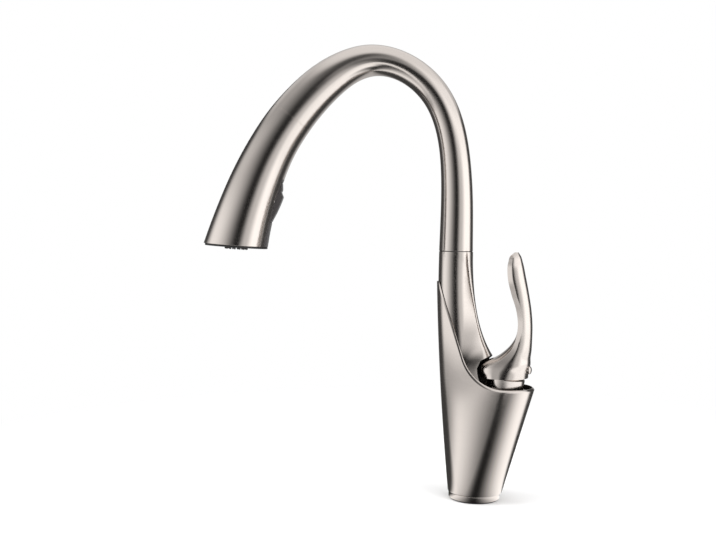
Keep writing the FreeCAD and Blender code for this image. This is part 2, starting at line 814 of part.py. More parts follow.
# Waterway inside the head with the plunger that the rocker pushes
mat_z = face_plate_t - face_plate_low
core_start = spout_end + dock_flange_t
core = carried(core_start, head_end, core_wall)
core = core.cut(at_dock(slab(-dock_tail, far)))
core = core.common(on_face(slab(mat_z + mat_t, far)))
core = core.cut(bar_along(core_start, head_end, water_r))
plunger_top = V(plunger_x, 0, -button_depth - gap_free)
plunger_low = plunger_top.sub(V(0, 0, plunger_length))
plunger_bore = rod(plunger_low.sub(V(0, 0, plunger_room)), V(plunger_x, 0, 0), plunger_r + gap_free)
core = core.cut(on_wall(plunger_bore))
core = core.cut(well)
save("spray_core", on_spout(core))
save("diverter_plunger", on_spout(on_wall(rod(plunger_low, plunger_top, plunger_r))))

# Spray face: bumper ring, plate, nozzle mat and aerator
plate_seat = face_plate_r + gap_fit
bumper = tube(face_r - bumper_inset, plate_seat, -bumper_t, 0)
bumper = bumper.fuse(tube(face_r - head_wall - bumper_seat, plate_seat, 0, bumper_depth)).removeSplitter()
plate = tube(face_plate_r, aerator_r + gap_fit, -face_plate_low, mat_z)
mat = tube(face_plate_r - mat_inset, aerator_r + gap_fit, mat_z, mat_z + mat_t)
for count, ring_r in nozzle_rings:
    for k in range(count):
        a = 2 * math.pi * (k + 0.5) / count
        foot = V(ring_r * math.cos(a), ring_r * math.sin(a), -nozzle_drop)
        plate = plate.cut(Part.makeCylinder(nozzle_r + gap_fit, far, foot))
        mat = mat.fuse(Part.makeCylinder(nozzle_r, nozzle_drop + mat_z, foot))
save("bumper_ring", on_spout(on_face(bumper)))
save("face_plate", on_spout(on_face(plate)))
save("nozzle_mat", on_spout(on_face(mat)))
save("aerator", on_spout(on_face(tube(aerator_r, aerator_bore_r, -aerator_low, mat_z + mat_t))))
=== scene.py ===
# %% [markdown]
# # A pull-out kitchen faucet, dressed for its portrait
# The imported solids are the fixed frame. Every shell that the light plays on is worked out again here as a
# smooth surface, from the same few sizes, because satin metal shows each flat facet as a break in its
# reflections. Hidden pieces stay as the solids are and only get a finish.

# %% Load the frame
import bpy
import json
import math
import numpy as np
from mathutils import Euler, Matrix


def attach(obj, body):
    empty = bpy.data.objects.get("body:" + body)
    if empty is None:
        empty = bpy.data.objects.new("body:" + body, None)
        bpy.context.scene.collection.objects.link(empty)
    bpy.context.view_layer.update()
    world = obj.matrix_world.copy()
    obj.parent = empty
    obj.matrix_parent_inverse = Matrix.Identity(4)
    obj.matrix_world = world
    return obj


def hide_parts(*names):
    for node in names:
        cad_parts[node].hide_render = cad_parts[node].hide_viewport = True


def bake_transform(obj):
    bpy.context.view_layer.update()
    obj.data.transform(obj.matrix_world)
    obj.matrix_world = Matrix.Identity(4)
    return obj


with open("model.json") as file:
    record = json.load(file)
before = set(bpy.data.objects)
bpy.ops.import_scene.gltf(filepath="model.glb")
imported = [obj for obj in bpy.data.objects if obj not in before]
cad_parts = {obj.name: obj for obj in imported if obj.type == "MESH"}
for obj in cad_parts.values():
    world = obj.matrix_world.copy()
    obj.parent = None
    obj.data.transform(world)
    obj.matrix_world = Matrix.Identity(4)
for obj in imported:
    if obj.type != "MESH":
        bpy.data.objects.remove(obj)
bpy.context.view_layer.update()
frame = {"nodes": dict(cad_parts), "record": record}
nodes = frame["nodes"]

# %% [markdown]
# ## From numbers to a mesh
# A surface is a grid of points, rows along the piece and columns round it. Two neighbouring rows and two
# neighbouring columns bound one four-sided face, so the faces follow from the grid's shape alone, and numpy
# works them out as whole arrays. Sizes are in millimetres here, as on a drawing, and turn into metres once,
# when the mesh is made.

# %% Grid helpers
MM = 0.001
smooth_angle = math.radians(32)


def grid_faces(rows, cols, closed_rows, start=0):
    """Corner numbers of the faces between neighbouring rows and columns. The columns close into a ring."""
    i = np.arange(rows if closed_rows else rows - 1)[:, None]
    j = np.arange(cols)[None, :]
    i2, j2 = (i + 1) % rows, (j + 1) % cols
    quads = np.stack([i * cols + j, i * cols + j2, i2 * cols + j2, i2 * cols + j], axis=-1)
    return quads.reshape(-1, 4) + start


def add_piece(name, points, faces, body, node, material, slot):
    """A mesh object at the origin from points in millimetres. It rides a body and stands for a solid."""
    mesh = bpy.data.meshes.new(name)
    mesh.from_pydata((np.asarray(points) * MM).tolist(), [], [list(f) for f in faces])
    mesh.validate()
    mesh.materials.append(material)
    piece = bpy.data.objects.new(name, mesh)
    bpy.context.scene.collection.objects.link(piece)
    tidy_normals(piece)
    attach(piece, body)
    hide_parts(node)
    print(name, len(mesh.polygons), "faces")
    return piece


def tidy_normals(piece):
    """Outward faces, smooth shading that breaks only at real edges."""
    bpy.context.view_layer.objects.active = piece
    bpy.ops.object.select_all(action="DESELECT")
    piece.select_set(True)
    bpy.ops.object.mode_set(mode="EDIT")
    bpy.ops.mesh.select_all(action="SELECT")
    bpy.ops.mesh.normals_make_consistent(inside=False)
    bpy.ops.object.mode_set(mode="OBJECT")
    bpy.ops.object.shade_smooth_by_angle(angle=smooth_angle)


def capped(points):
    """Faces of an open stack of rings plus one flat face over each end."""
    rows, cols = points.shape[:2]
    faces = [list(f) for f in grid_faces(rows, cols, False)]
    faces.append(list(range(cols))[::-1])
    faces.append(list(range((rows - 1) * cols, rows * cols)))
    return faces


def add_shell(name, points, *rest):
    """A piece from rings whose last row closes onto the first: a tube with its wall, or a turned ring."""
    return add_piece(name, points.reshape(-1, 3), grid_faces(*points.shape[:2], True), *rest)


def add_stack(name, points, *rest):
    """A piece from a stack of rings with both ends closed by a flat face."""
    return add_piece(name, points.reshape(-1, 3), capped(points), *rest)


print("grid helpers ready")

# %% [markdown]
# ## Places
# The cartridge leans a little towards the lever, the spout rests turned round the column, and the spray
# face is tilted on the spout's end. Each has its own axis, and these functions carry points from that axis
# to their place in the frame.

# %% Placing functions
pivot = np.array([24.4, 0.0, 89.3])
axis_lean = math.radians(9.0)
column_x = -22.0
seam_z = 216.5
spout_turn = math.radians(28.0)
face_tilt = math.radians(3.1)
face_p = np.array([-194.5, 0.0, seam_z + 2.5])
wall_lean = math.radians(14.7)
wall_p = np.array([-160.0, 0.0, seam_z + 39.5])


def turn_y(points, angle):
    """Points turned about the Y axis, Z towards X."""
    x, y, z = np.moveaxis(np.asarray(points, float), -1, 0)
    c, s = math.cos(angle), math.sin(angle)
    return np.stack([x * c + z * s, y, z * c - x * s], axis=-1)


def turn_z(points, angle):
    """Points turned about the Z axis, X towards Y."""
    x, y, z = np.moveaxis(np.asarray(points, float), -1, 0)
    c, s = math.cos(angle), math.sin(angle)
    return np.stack([x * c - y * s, x * s + y * c, z], axis=-1)


def on_axis(points):
    """From the cartridge's own axis to its place."""
    return turn_y(points, axis_lean) + pivot


def on_spout(points):
    """From the spout's own plane to its resting turn."""
    return turn_z(points, spout_turn) + np.array([column_x, 0, 0])


def on_face(points):
    """From the spray face's own axis, Z into the head, to the spout's plane."""
    return turn_y(points, face_tilt) + face_p


def on_wall(points):
    """From the button's own frame, X down the head and Z out of it, to the spout's plane."""
    return turn_y(points, math.pi / 2 + wall_lean) + wall_p


def revolved(profile, cols=96):
    """Rings of a profile of (radius, height) points turned about the Z axis, as rows of points."""
    profile = np.asarray(profile, float)
    a = np.linspace(0, 2 * math.pi, cols, endpoint=False)
    r, z = profile[:, :1], profile[:, 1:]
    return np.stack([r * np.cos(a), r * np.sin(a), z + 0 * a], axis=-1)


def softened(profile, radius, steps=4, most=0.45):
    """A closed profile with each corner cut by a quadratic curve, at most a share of its shorter edge."""
    p = np.asarray(profile, float)
    before, after = np.roll(p, 1, axis=0) - p, np.roll(p, -1, axis=0) - p
    la, lb = np.linalg.norm(before, axis=1), np.linalg.norm(after, axis=1)
    cut = np.minimum(radius, most * np.minimum(la, lb))[:, None]
    a, b = p + before / la[:, None] * cut, p + after / lb[:, None] * cut
    t = np.linspace(0, 1, steps)[None, :, None]
    curve = (1 - t) ** 2 * a[:, None] + 2 * t * (1 - t) * p[:, None] + t ** 2 * b[:, None]
    return curve.reshape(-1, 2)


print("placing functions ready")

# %% [markdown]
# ## Brushed nickel
# The finish is satin nickel over brass. The brush leaves fine lines that run round each form, so the gloss is
# a little uneven at a scale of under half a millimetre, and the metal is warm rather than blue. One stretched
# noise gives the lines and the change of gloss; the colour is one value, set on the shader itself. Walls cut
# inside a casting and the skirt's inside get a rough near-black metal: painted shade for those recesses.

# %% Metal materials
noise_low, noise_high = 0.3, 0.7
brush_depth = 0.00002


def new_material(name, base, metallic, roughness):
    """A material with its shader's plain values set, and the shader and node tree to add to."""
    material = bpy.data.materials.new(name)
    material.use_nodes = True
    tree = material.node_tree
    shader = tree.nodes["Principled BSDF"]
    shader.inputs["Base Color"].default_value = (*base, 1)
    shader.inputs["Metallic"].default_value = metallic
    shader.inputs["Roughness"].default_value = roughness
    return material, tree, shader


def brushed(name, base, low, high, stretch, bump):
    """Metal whose roughness runs from low to high in lines: noise squeezed along one axis of the piece."""
    material, tree, shader = new_material(name, base, 1.0, low)
    coords = tree.nodes.new("ShaderNodeTexCoord")
    mapping = tree.nodes.new("ShaderNodeMapping")
    mapping.inputs["Scale"].default_value = stretch
    noise = tree.nodes.new("ShaderNodeTexNoise")
    noise.inputs["Scale"].default_value = 1.0
    noise.inputs["Detail"].default_value = 3.0
    ramp = tree.nodes.new("ShaderNodeMapRange")
    ramp.inputs["From Min"].default_value = noise_low
    ramp.inputs["From Max"].default_value = noise_high
    ramp.inputs["To Min"].default_value = low
    ramp.inputs["To Max"].default_value = high
    raised = tree.nodes.new("ShaderNodeBump")
    raised.inputs["Strength"].default_value = bump
    raised.inputs["Distance"].default_value = brush_depth
    tree.links.new(coords.outputs["Object"], mapping.inputs["Vector"])
    tree.links.new(mapping.outputs["Vector"], noise.inputs["Vector"])
    tree.links.new(noise.outputs["Fac"], ramp.inputs["Value"])
    tree.links.new(ramp.outputs["Result"], shader.inputs["Roughness"])
    tree.links.new(noise.outputs["Fac"], raised.inputs["Height"])
    tree.links.new(raised.outputs["Normal"], shader.inputs["Normal"])
    return material


nickel_colour = (0.67, 0.615, 0.575)
nickel = brushed("brushed_nickel", nickel_colour, 0.15, 0.2, (60, 60, 2600), 0.05)
brass = brushed("turned_brass", (0.78, 0.58, 0.28), 0.25, 0.38, (80, 80, 1800), 0.1)
steel = brushed("plain_steel", (0.62, 0.62, 0.62), 0.22, 0.34, (900, 900, 900), 0.05)
# Painted shade: a near-black metal that stands in for the shade in recesses and cut walls.
painted_recess_shade = brushed("painted_recess_shade_metal", (0.05, 0.045, 0.04), 0.5, 0.7, (900, 900, 900), 0.1)
print("metals:", nickel.name, brass.name, steel.name, painted_recess_shade.name)

# %% [markdown]
# ## Plastics, rubber, ceramic and braid
# None of these is one flat colour either: moulded plastic has a fine spark-eroded grain, rubber a dull
# bloom, and the hose's nylon braid is two families of strands crossing on a slant. The hidden lower hose
# has no UV map for a braid, so it is given the rubber.

# %% Other materials
grain_depth = 0.00005
strand_depth = 0.0003
strand_roughness = 0.55


def grained(name, base, spread, roughness, scale, bump):
    """Moulded surface: colour and height follow one fine noise, the colour within a narrow spread."""
    material, tree, shader = new_material(name, base, 0.0, roughness)
    coords = tree.nodes.new("ShaderNodeTexCoord")
    noise = tree.nodes.new("ShaderNodeTexNoise")
    noise.inputs["Scale"].default_value = scale
    noise.inputs["Detail"].default_value = 4.0
    ramp = tree.nodes.new("ShaderNodeValToRGB")
    ramp.color_ramp.elements[0].color = (*[c * (1 - spread) for c in base], 1)
    ramp.color_ramp.elements[1].color = (*[min(1, c * (1 + spread)) for c in base], 1)
    raised = tree.nodes.new("ShaderNodeBump")
    raised.inputs["Strength"].default_value = bump
    raised.inputs["Distance"].default_value = grain_depth
    tree.links.new(coords.outputs["Object"], noise.inputs["Vector"])
    tree.links.new(noise.outputs["Fac"], ramp.inputs["Fac"])
    tree.links.new(ramp.outputs["Color"], shader.inputs["Base Color"])
    tree.links.new(noise.outputs["Fac"], raised.inputs["Height"])
    tree.links.new(raised.outputs["Normal"], shader.inputs["Normal"])
    return material


def braided(name, dark, light, turns, pitch):
    """Nylon braid: the product of two slanting waves over the piece's own UV map picks the strand's shade."""
    material, tree, shader = new_material(name, dark, 0.0, strand_roughness)
    uv = tree.nodes.new("ShaderNodeUVMap")
    waves = []
    for lean in (turns, -turns):
        mapping = tree.nodes.new("ShaderNodeMapping")
        mapping.inputs["Scale"].default_value = (lean, pitch, 1)
        wave = tree.nodes.new("ShaderNodeTexWave")
        wave.bands_direction = "DIAGONAL"
        wave.inputs["Scale"].default_value = 1.0
        tree.links.new(uv.outputs["UV"], mapping.inputs["Vector"])
        tree.links.new(mapping.outputs["Vector"], wave.inputs["Vector"])
        waves.append(wave.outputs["Fac"])
    both = tree.nodes.new("ShaderNodeMath")
    both.operation = "MAXIMUM"
    tree.links.new(waves[0], both.inputs[0])
    tree.links.new(waves[1], both.inputs[1])
    ramp = tree.nodes.new("ShaderNodeValToRGB")
    ramp.color_ramp.elements[0].color = (*dark, 1)
    ramp.color_ramp.elements[1].color = (*light, 1)
    raised = tree.nodes.new("ShaderNodeBump")
    raised.inputs["Strength"].default_value = 0.5
    raised.inputs["Distance"].default_value = strand_depth
    tree.links.new(both.outputs["Value"], ramp.inputs["Fac"])
    tree.links.new(ramp.outputs["Color"], shader.inputs["Base Color"])
    tree.links.new(both.outputs["Value"], raised.inputs["Height"])
    tree.links.new(raised.outputs["Normal"], shader.inputs["Normal"])
    return material


black_rubber = grained("black_rubber", (0.012, 0.011, 0.011), 0.4, 0.5, 2500, 0.2)
grey_plastic = grained("grey_plastic", (0.055, 0.05, 0.05), 0.15, 0.34, 4000, 0.1)
nozzle_rubber = grained("nozzle_rubber", (0.03, 0.028, 0.028), 0.3, 0.42, 2500, 0.15)
white_plastic = grained("white_plastic", (0.75, 0.75, 0.73), 0.05, 0.4, 3000, 0.1)
ceramic = grained("ceramic", (0.88, 0.87, 0.84), 0.03, 0.12, 1500, 0.02)
braid = braided("hose_braid", (0.035, 0.035, 0.037), (0.16, 0.16, 0.165), 6, 1)
finish_of = {
    "nickel": nickel, "brass": brass, "steel": steel, "black_rubber": black_rubber,
    "grey_plastic": grey_plastic, "white_plastic": white_plastic, "ceramic": ceramic, "braid": black_rubber,
}
for part in frame["record"]["subparts"]:
    solid = nodes[part["node"]]
    solid.data.materials.clear()
    solid.data.materials.append(finish_of[part["material_slot"]])
print("finishes:", len(bpy.data.materials))

# %% [markdown]
# ## The gooseneck
# The spout is a tube bent in one plane: up the column, over the top and down to the spray head, thinnest at
# the crown and swelling towards the face. Its centre line is a smooth spline through a few control points,
# and a radius law says how thick it is at each length along that line. Rings square to the line make the
# surface.

# %% Centre line
washer_t = 0.6
spout_poles = np.array([
    (0.0, washer_t), (0.0, 25.5), (-1.0, 66.5), (11.0, 144.0), (80.5, 181.5),
    (142.0, 128.0), (175.0, 72.5), (189.5, 24.0), (194.5, 2.5),
]) + np.array([0.0, seam_z])
column_r = 14.9
spout_end = 296.0
face_r = 28.0
neck_gauge = [
    (0.0, column_r), (43.0, 14.1), (92.0, 13.0), (140.0, 12.6), (186.0, 12.8), (222.0, 14.8),
    (256.0, 17.6), (spout_end, 19.6), (330.0, 20.9), (364.0, 23.2), (394.0, 25.5),
]


def spline(poles, u, degree=3):
    """Clamped uniform B-spline: each point is the basis-weighted mean of the control points."""
    n = len(poles)
    knots = np.concatenate([np.zeros(degree), np.linspace(0, 1, n - degree + 1), np.ones(degree)])
    u = np.clip(np.asarray(u, float), 0, 1 - 1e-12)[:, None]
    basis = ((knots[:-1] <= u) & (u < knots[1:])).astype(float)
    for d in range(1, degree + 1):
        rise, fall = knots[d:-1] - knots[:-d - 1], knots[d + 1:] - knots[1:-d]
        a = np.where(rise > 0, (u - knots[:-d - 1]) / np.where(rise > 0, rise, 1), 0)
        b = np.where(fall > 0, (knots[d + 1:] - u) / np.where(fall > 0, fall, 1), 0)
        basis = a * basis[:, :-1] + b * basis[:, 1:]
    return basis @ poles


line_steps = 4001
line = spline(spout_poles, np.linspace(0, 1, line_steps))
line_s = np.concatenate([[0], np.cumsum(np.linalg.norm(np.diff(line, axis=0), axis=1))])
line_length = line_s[-1]
line_way = np.gradient(line, line_s, axis=0)
line_way /= np.linalg.norm(line_way, axis=1)[:, None]
print("centre line", round(line_length, 2), "mm")

# %% Radius law and tube
head_end = line_length + 9
face_gauge = [(line_length, face_r - 0.2), (head_end, face_r + 0.7)]
gauge = np.array(neck_gauge + face_gauge)
gauge_slope = np.empty(len(gauge))
gauge_slope[1:-1] = (gauge[2:, 1] - gauge[:-2, 1]) / (gauge[2:, 0] - gauge[:-2, 0])
gauge_ends = gauge[[1, -1]] - gauge[[0, -2]]
gauge_slope[[0, -1]] = gauge_ends[:, 1] / gauge_ends[:, 0]


def radius_at(s):
    """Radius at a length along the line: cubic pieces through the gauge with averaged slopes."""
    k = np.clip(np.searchsorted(gauge[:, 0], s, side="right") - 1, 0, len(gauge) - 2)
    h = gauge[k + 1, 0] - gauge[k, 0]
    t = (s - gauge[k, 0]) / h
    rise = gauge[k + 1, 1] - gauge[k, 1]
    m0, m1 = gauge_slope[k] * h, gauge_slope[k + 1] * h
    return gauge[k, 1] + t * (m0 + t * (3 * rise - 2 * m0 - m1 + t * (m0 + m1 - 2 * rise)))


def line_at(s):
    """Point and direction in the spout's plane at a length, straight on past the end."""
    over = np.maximum(s - line_length, 0)
    c = np.minimum(s, line_length)
    way = np.stack([np.interp(c, line_s, line_way[:, k]) for k in (0, 1)], axis=-1)
    way /= np.linalg.norm(way, axis=-1, keepdims=True)
    place = np.stack([np.interp(c, line_s, line[:, k]) for k in (0, 1)], axis=-1)
    return place + way * over[..., None], way


def tube_point(s, angle, inset=0.0, radius=None):
    """Point on the tube: centre plus radius round it; angle 0 is the outer side of the arch."""
    place, way = line_at(s)
    r = radius_at(s) - inset if radius is None else radius
    side = r * np.cos(angle)
    x = side * way[..., 1] - place[..., 0]
    z = side * way[..., 0] + place[..., 1]
    return np.stack([x, r * np.sin(angle), z], axis=-1)


print("radius from", gauge[:, 1].min(), "to", gauge[:, 1].max(), "mm")

# %% [markdown]
# Every edge has a few rows close to it, with the last ones moved in by a hair. That rounds the edge, and
# keeps smooth shading from smearing its light over the surface beside it.

# %% Spout surface
round_cols = 144
ring = np.linspace(0, 2 * math.pi, round_cols, endpoint=False)
spout_wall = 1.6
seam_edge = 0.1
edge_rows = np.array([0, 0.04, seam_edge, 0.2])
edge_inset = np.array([seam_edge, 0.03, 0, 0])
edge_reach = 0.4
spout_outside, spout_inside = 260, 70


def rings(s, inset):
    """Rows of points on the tube at given lengths, moved in by a wall."""
    s = np.asarray(s, float)[:, None] + 0 * ring[None, :]
    return tube_point(s, ring[None, :] + 0 * s, np.asarray(inset)[:, None])


s_along = np.linspace(edge_reach, spout_end - edge_reach, spout_outside)
s_out = np.concatenate([edge_rows, s_along, [spout_end - seam_edge, spout_end]])
in_out = np.concatenate([edge_inset, np.zeros(spout_outside + 1), [seam_edge]])
s_in = np.linspace(spout_end, 0, spout_inside)
in_in = np.full(spout_inside, spout_wall)
spout_rows = np.concatenate([rings(s_out, in_out), rings(s_in, in_in)])
add_shell("spout_shell", on_spout(spout_rows), "spout_arm", "spout", nickel, "nickel")

# %% [markdown]
# ## The spray head
# The head carries the same line and radius law on to the face, which cuts it off on a slant. So each column
# of the grid ends where it meets the face's plane, found by halving the interval again and again for all
# the columns at once.

# %% Head surface
face_n = np.array([math.sin(face_tilt), 0, math.cos(face_tilt)])
head_wall = 1.8
halvings = 40
face_search = spout_end + 60


def length_to_face(angle, inset):
    """Length along the line at which the tube meets the face's plane, by bisection."""
    low, high = np.full(angle.shape, face_search), np.full(angle.shape, head_end)
    for _ in range(halvings):
        mid = (low + high) / 2
        above = (tube_point(mid, angle, inset) - face_p) @ face_n > 0
        low, high = np.where(above, mid, low), np.where(above, high, mid)
    return low


def head_rows(share, inset):
    """Rows of the head between the dock and the face: share 0 is the dock, 1 the face."""
    share, inset = np.asarray(share, float)[:, None], np.asarray(inset, float)[:, None]
    angle = ring[None, :] + 0 * share
    end = length_to_face(angle, inset + 0 * angle)
    return tube_point(spout_end + (end - spout_end) * share, angle, inset)


rim_edge = 0.2
head_outside, head_inside = 180, 50
dock_share, dock_inset = [0, 0.001, 0.003], [seam_edge, 0, 0]
rim_share, rim_inset = [0.997, 0.999, 0.9997, 1.0], [0, 0, 0.06, rim_edge]
outer_share = np.concatenate([dock_share, np.linspace(0.01, 0.99, head_outside), rim_share])
outer_inset = np.concatenate([dock_inset, np.zeros(head_outside), rim_inset])
inner_share = np.linspace(1.0, 0.0, head_inside)
inner_inset = np.full(head_inside, head_wall)
head_points = np.concatenate([head_rows(outer_share, outer_inset), head_rows(inner_share, inner_inset)])
head = add_shell("head_skin", on_spout(head_points), "spray_head", "head_shell", nickel, "nickel")

# %% [markdown]
# ## The leaning skirt
# At each height the skirt's outline has a circle on the column side, a circle on the lever side and a wide
# arc on each flank that touches both. The circles move apart as they rise. The rim is a straight line on
# the lever side, a big arc, then a steep line up to the tip, so each column of the grid ends where it meets
# that line. The column casting inside has straight flanks instead, and makes an egg.

# %% Outlines
shell_r0 = 22.6
shell_tip_z = 186.0
shell_tip_r = 16.2
shell_top = 190.0
shell_side_r = 50.0
shell_flat_z = 200.0
shell_bow = 0.35
lever_side_lean = 0.268
lever_side_grow = 0.025
base_top = 6.0
shell_wall = 2.2
shell_wall_tip = 0.55
lever_side_wall = 2.6


def egg(share, z, xa, ra, xb, rb):
    """Point on two circles with their outer tangents: share 0 to 1 runs round from the lever's side."""
    cos_h = (ra - rb) / (xb - xa)
    half = np.arccos(cos_h)
    side = np.sqrt((xb - xa) ** 2 - (ra - rb) ** 2)
    way = 2 * np.minimum(share, 1 - share) * (rb * half + side + ra * (math.pi - half))
    t = (way - rb * half) / side
    a = half + (way - rb * half - side) / ra
    part = [way < rb * half, way < rb * half + side]
    x = np.select(part, [xb + rb * np.cos(way / rb), xb + t * (xa - xb) + (rb + t * (ra - rb)) * cos_h],
                  xa + ra * np.cos(a))
    y = np.select(part, [rb * np.sin(way / rb), (rb + t * (ra - rb)) * np.sin(half)], ra * np.sin(a))
    return np.stack([x, np.where(share < 0.5, y, -y), z + 0 * x], axis=-1)


def oval(share, z, xa, ra, xb, rb, side_r):
    """Point on two circles joined by wide side arcs that touch both, share 0 to 1 as in the egg."""
    d = xb - xa
    t = (d ** 2 + (side_r - ra) ** 2 - (side_r - rb) ** 2) / (2 * d)
    h = np.sqrt((side_r - ra) ** 2 - t ** 2)
    to_a, to_b = np.arctan2(h, -t), np.arctan2(h, d - t)
    first = rb * to_b
    second = first + side_r * (to_a - to_b)
    way = 2 * np.minimum(share, 1 - share) * (second + ra * (math.pi - to_a))
    on_side = to_b + (way - first) / side_r
    on_a = to_a + (way - second) / ra
    part = [way < first, way < second]
    x = np.select(part, [xb + rb * np.cos(way / rb), xa + t + side_r * np.cos(on_side)],
                  xa + ra * np.cos(on_a))
    y = np.select(part, [rb * np.sin(way / rb), side_r * np.sin(on_side) - h], ra * np.sin(on_a))
    return np.stack([x, np.where(share < 0.5, y, -y), z + 0 * x], axis=-1)


def skirt_point(share, z, inset_a, inset_b):
    """Point of the leaning shell at a height, moved in by a wall on each side."""
    t = z / shell_tip_z
    xa = column_x * t * (1 + shell_bow * (1 - t))
    ra = shell_r0 + (shell_tip_r - shell_r0) * t - inset_a
    rb = shell_r0 + lever_side_grow * z - inset_b
    side_r = shell_side_r / (1 - z / shell_flat_z) - (inset_a + inset_b) / 2
    return oval(share, z, xa, ra, lever_side_lean * z, rb, side_r)


def wall_at(z):
    """Wall on the column side, thin at the tip."""
    return shell_wall + (shell_wall_tip - shell_wall) * z / shell_tip_z


print("skirt from", shell_r0, "mm at the foot to", shell_tip_r, "mm at the tip")

# %% Skirt surface
rim_z = 101.0
rim_arc_r = 40.0
rim_lean = math.radians(23.2)
rim_corner_x = 5.8
rim_search = 60.0
skirt_cols = 360


def rim_height(x, drop):
    """Height of the rim line over a place: flat, then an arc, then a steep line."""
    reach = rim_arc_r * math.tan((math.pi / 2 - rim_lean) / 2)
    z0 = rim_z - drop
    start = rim_corner_x - drop * math.tan((math.pi / 2 - rim_lean) / 2) + reach
    end_x, end_z = start - rim_arc_r * math.cos(rim_lean), z0 + rim_arc_r * (1 - math.sin(rim_lean))
    inside = np.clip(start - x, 0, rim_arc_r * math.cos(rim_lean))
    arc = z0 + rim_arc_r - np.sqrt(rim_arc_r ** 2 - inside ** 2)
    return np.where(x < end_x, end_z + (end_x - x) / math.tan(rim_lean), arc)


def height_to_rim(share, inset, drop):
    """Height at which each column of the skirt meets the rim line, by bisection."""
    low, high = np.full(share.shape, rim_search), np.full(share.shape, shell_top)
    for _ in range(halvings):
        mid = (low + high) / 2
        under = mid < rim_height(inset_point(share, mid, inset)[..., 0], drop)
        low, high = np.where(under, mid, low), np.where(under, high, mid)
    return low


def inset_point(share, z, inset):
    """Skirt point moved in by a share of its wall: 0 outside, 1 inside, between them the lip."""
    return skirt_point(share, z, inset * wall_at(z), inset * lever_side_wall)


def skirt_rows(rise, inset, drop):
    """Rows between the base and the rim: rise 0 is the base, 1 the rim."""
    share = np.linspace(0, 1, skirt_cols, endpoint=False)[None, :] + 0 * rise[:, None]
    inset, drop = inset[:, None] + 0 * share, drop[:, None] + 0 * share
    top = height_to_rim(share, inset, drop)
    z = base_top + (top - base_top) * rise[:, None]
    return inset_point(share, z, inset)


lip = 1.75
lip_gap = 0.15
inner_drop = 0.3
skin_inset = 0.075
foot_inset = [0.16, 0.09]
lip_inset = [0.09, 0.14, 0.45, 0.78, 0.86, 0.92, 0.97, 1.0]
lip_drop = [lip * 0.97, lip * 0.88, lip * 0.45, 0.1, 0.02, 0.0, 0.02, 0.12]
skin_rise = np.concatenate([[0, 0.002], np.linspace(0.005, 0.985, 148), [0.997, 1.0]])
inner_rise = np.linspace(1.0, 0.3, 40)
skin_rows, lip_rows, inner_rows = len(skin_rise), len(lip_inset), len(inner_rise)
rise = np.concatenate([skin_rise, np.ones(lip_rows), inner_rise])
skin = np.full(skin_rows - len(foot_inset), skin_inset)
inset = np.concatenate([foot_inset, skin, lip_inset, np.ones(inner_rows)])
drop = np.concatenate([np.full(skin_rows, lip + lip_gap), lip_drop, np.full(inner_rows, inner_drop)])
lip_end = skin_rows + lip_rows
skirt = add_shell("skirt_shell", skirt_rows(rise, inset, drop), "stand", "skirt", nickel, "nickel")
# The skirt's inner wall takes the near-black metal: painted shade inside the skirt.
skirt.data.materials.append(painted_recess_shade)
for face in skirt.data.polygons:
    if min(face.vertices) >= lip_end * skirt_cols:
        face.material_index = 1

# %% [markdown]
# ## The flaring column
# Above the rim the casting comes into view: a round column that draws itself out towards the lever as it
# goes down, with a reach that grows as an exponential, and narrows to a ridge there. A domed pocket is cut
# out of it for the lever's hub to turn in.

# %% Column surface
flare_z = 112.0
flare_reach = 23.4
flare_fade = 27.2
flare_widen = 0.14
flare_swell = 0.08
flare_swell_z = 165.0
flare_soft = 25.0
flare_least = 0.2
flare_narrow = 12.0
flare_ridge = 1.07
ridge_low, ridge_full, ridge_fade = 99.0, 133.0, 160.0
flare_back = 0.0008
flare_back_top = 204.0
flare_free_z = 180.0
column_taper = 0.008


def smooth_step(value, start, end):
    """0 before the start, 1 past the end and a smooth rise between them."""
    t = np.clip((value - start) / (end - start), 0, 1)
    return t * t * (3 - 2 * t)


def flare_point(share, z):
    """Column outline at a height, drawn out towards the lever as it comes down."""
    xa = column_x + flare_back * np.maximum(flare_back_top - z, 0) ** 2
    ra = column_r + column_taper * (seam_z - z)
    reach = np.exp((flare_z - z) / flare_fade) - math.exp((flare_z - seam_z) / flare_fade)
    drop = flare_swell_z - z
    eased_in = np.clip(drop + flare_soft, 0, 2 * flare_soft) ** 2 / (4 * flare_soft)
    swell = flare_swell * (eased_in + np.maximum(drop - flare_soft, 0))
    reach = np.maximum(flare_reach * reach - swell, flare_least)
    end_r = ra + swell + flare_widen * reach
    narrow = flare_narrow * smooth_step(z, ridge_low, ridge_full) * (1 - smooth_step(z, ridge_fade, seam_z))
    return egg(share, z, xa, ra + swell, xa + reach + flare_ridge * narrow, end_r - narrow)


flare_cols, flare_rows = 240, 170
flare_low = 92.0
share = np.linspace(0, 1, flare_cols, endpoint=False)[None, :]
flare_heights = np.linspace(flare_low, seam_z - edge_reach, flare_rows)
flare_heights = np.concatenate([flare_heights, seam_z - edge_rows[::-1]])
seam_inset = np.concatenate([np.zeros(flare_rows), edge_inset[::-1]])[:, None, None] / column_r
column_points = flare_point(share, flare_heights[:, None])
seam_middle = np.array([column_x, 0, 0]) + flare_heights[:, None, None] * np.array([0, 0, 1])
column_points += (seam_middle - column_points) * seam_inset
column = add_stack("column_casting", column_points, "stand", "body", nickel, "nickel")

# %% Cutting tools


def cutter(name, points, faces=None):
    """A closed helper mesh for a Boolean, thrown away after it. Its near-black metal goes onto the walls it
    cuts, as painted shade.
    """
    mesh = bpy.data.meshes.new(name)
    mesh.materials.append(painted_recess_shade)
    faces = capped(points) if faces is None else faces
    mesh.from_pydata((points.reshape(-1, 3) * MM).tolist(), [], [list(f) for f in faces])
    tool = bpy.data.objects.new(name, mesh)
    bpy.context.scene.collection.objects.link(tool)
    tidy_normals(tool)
    return tool


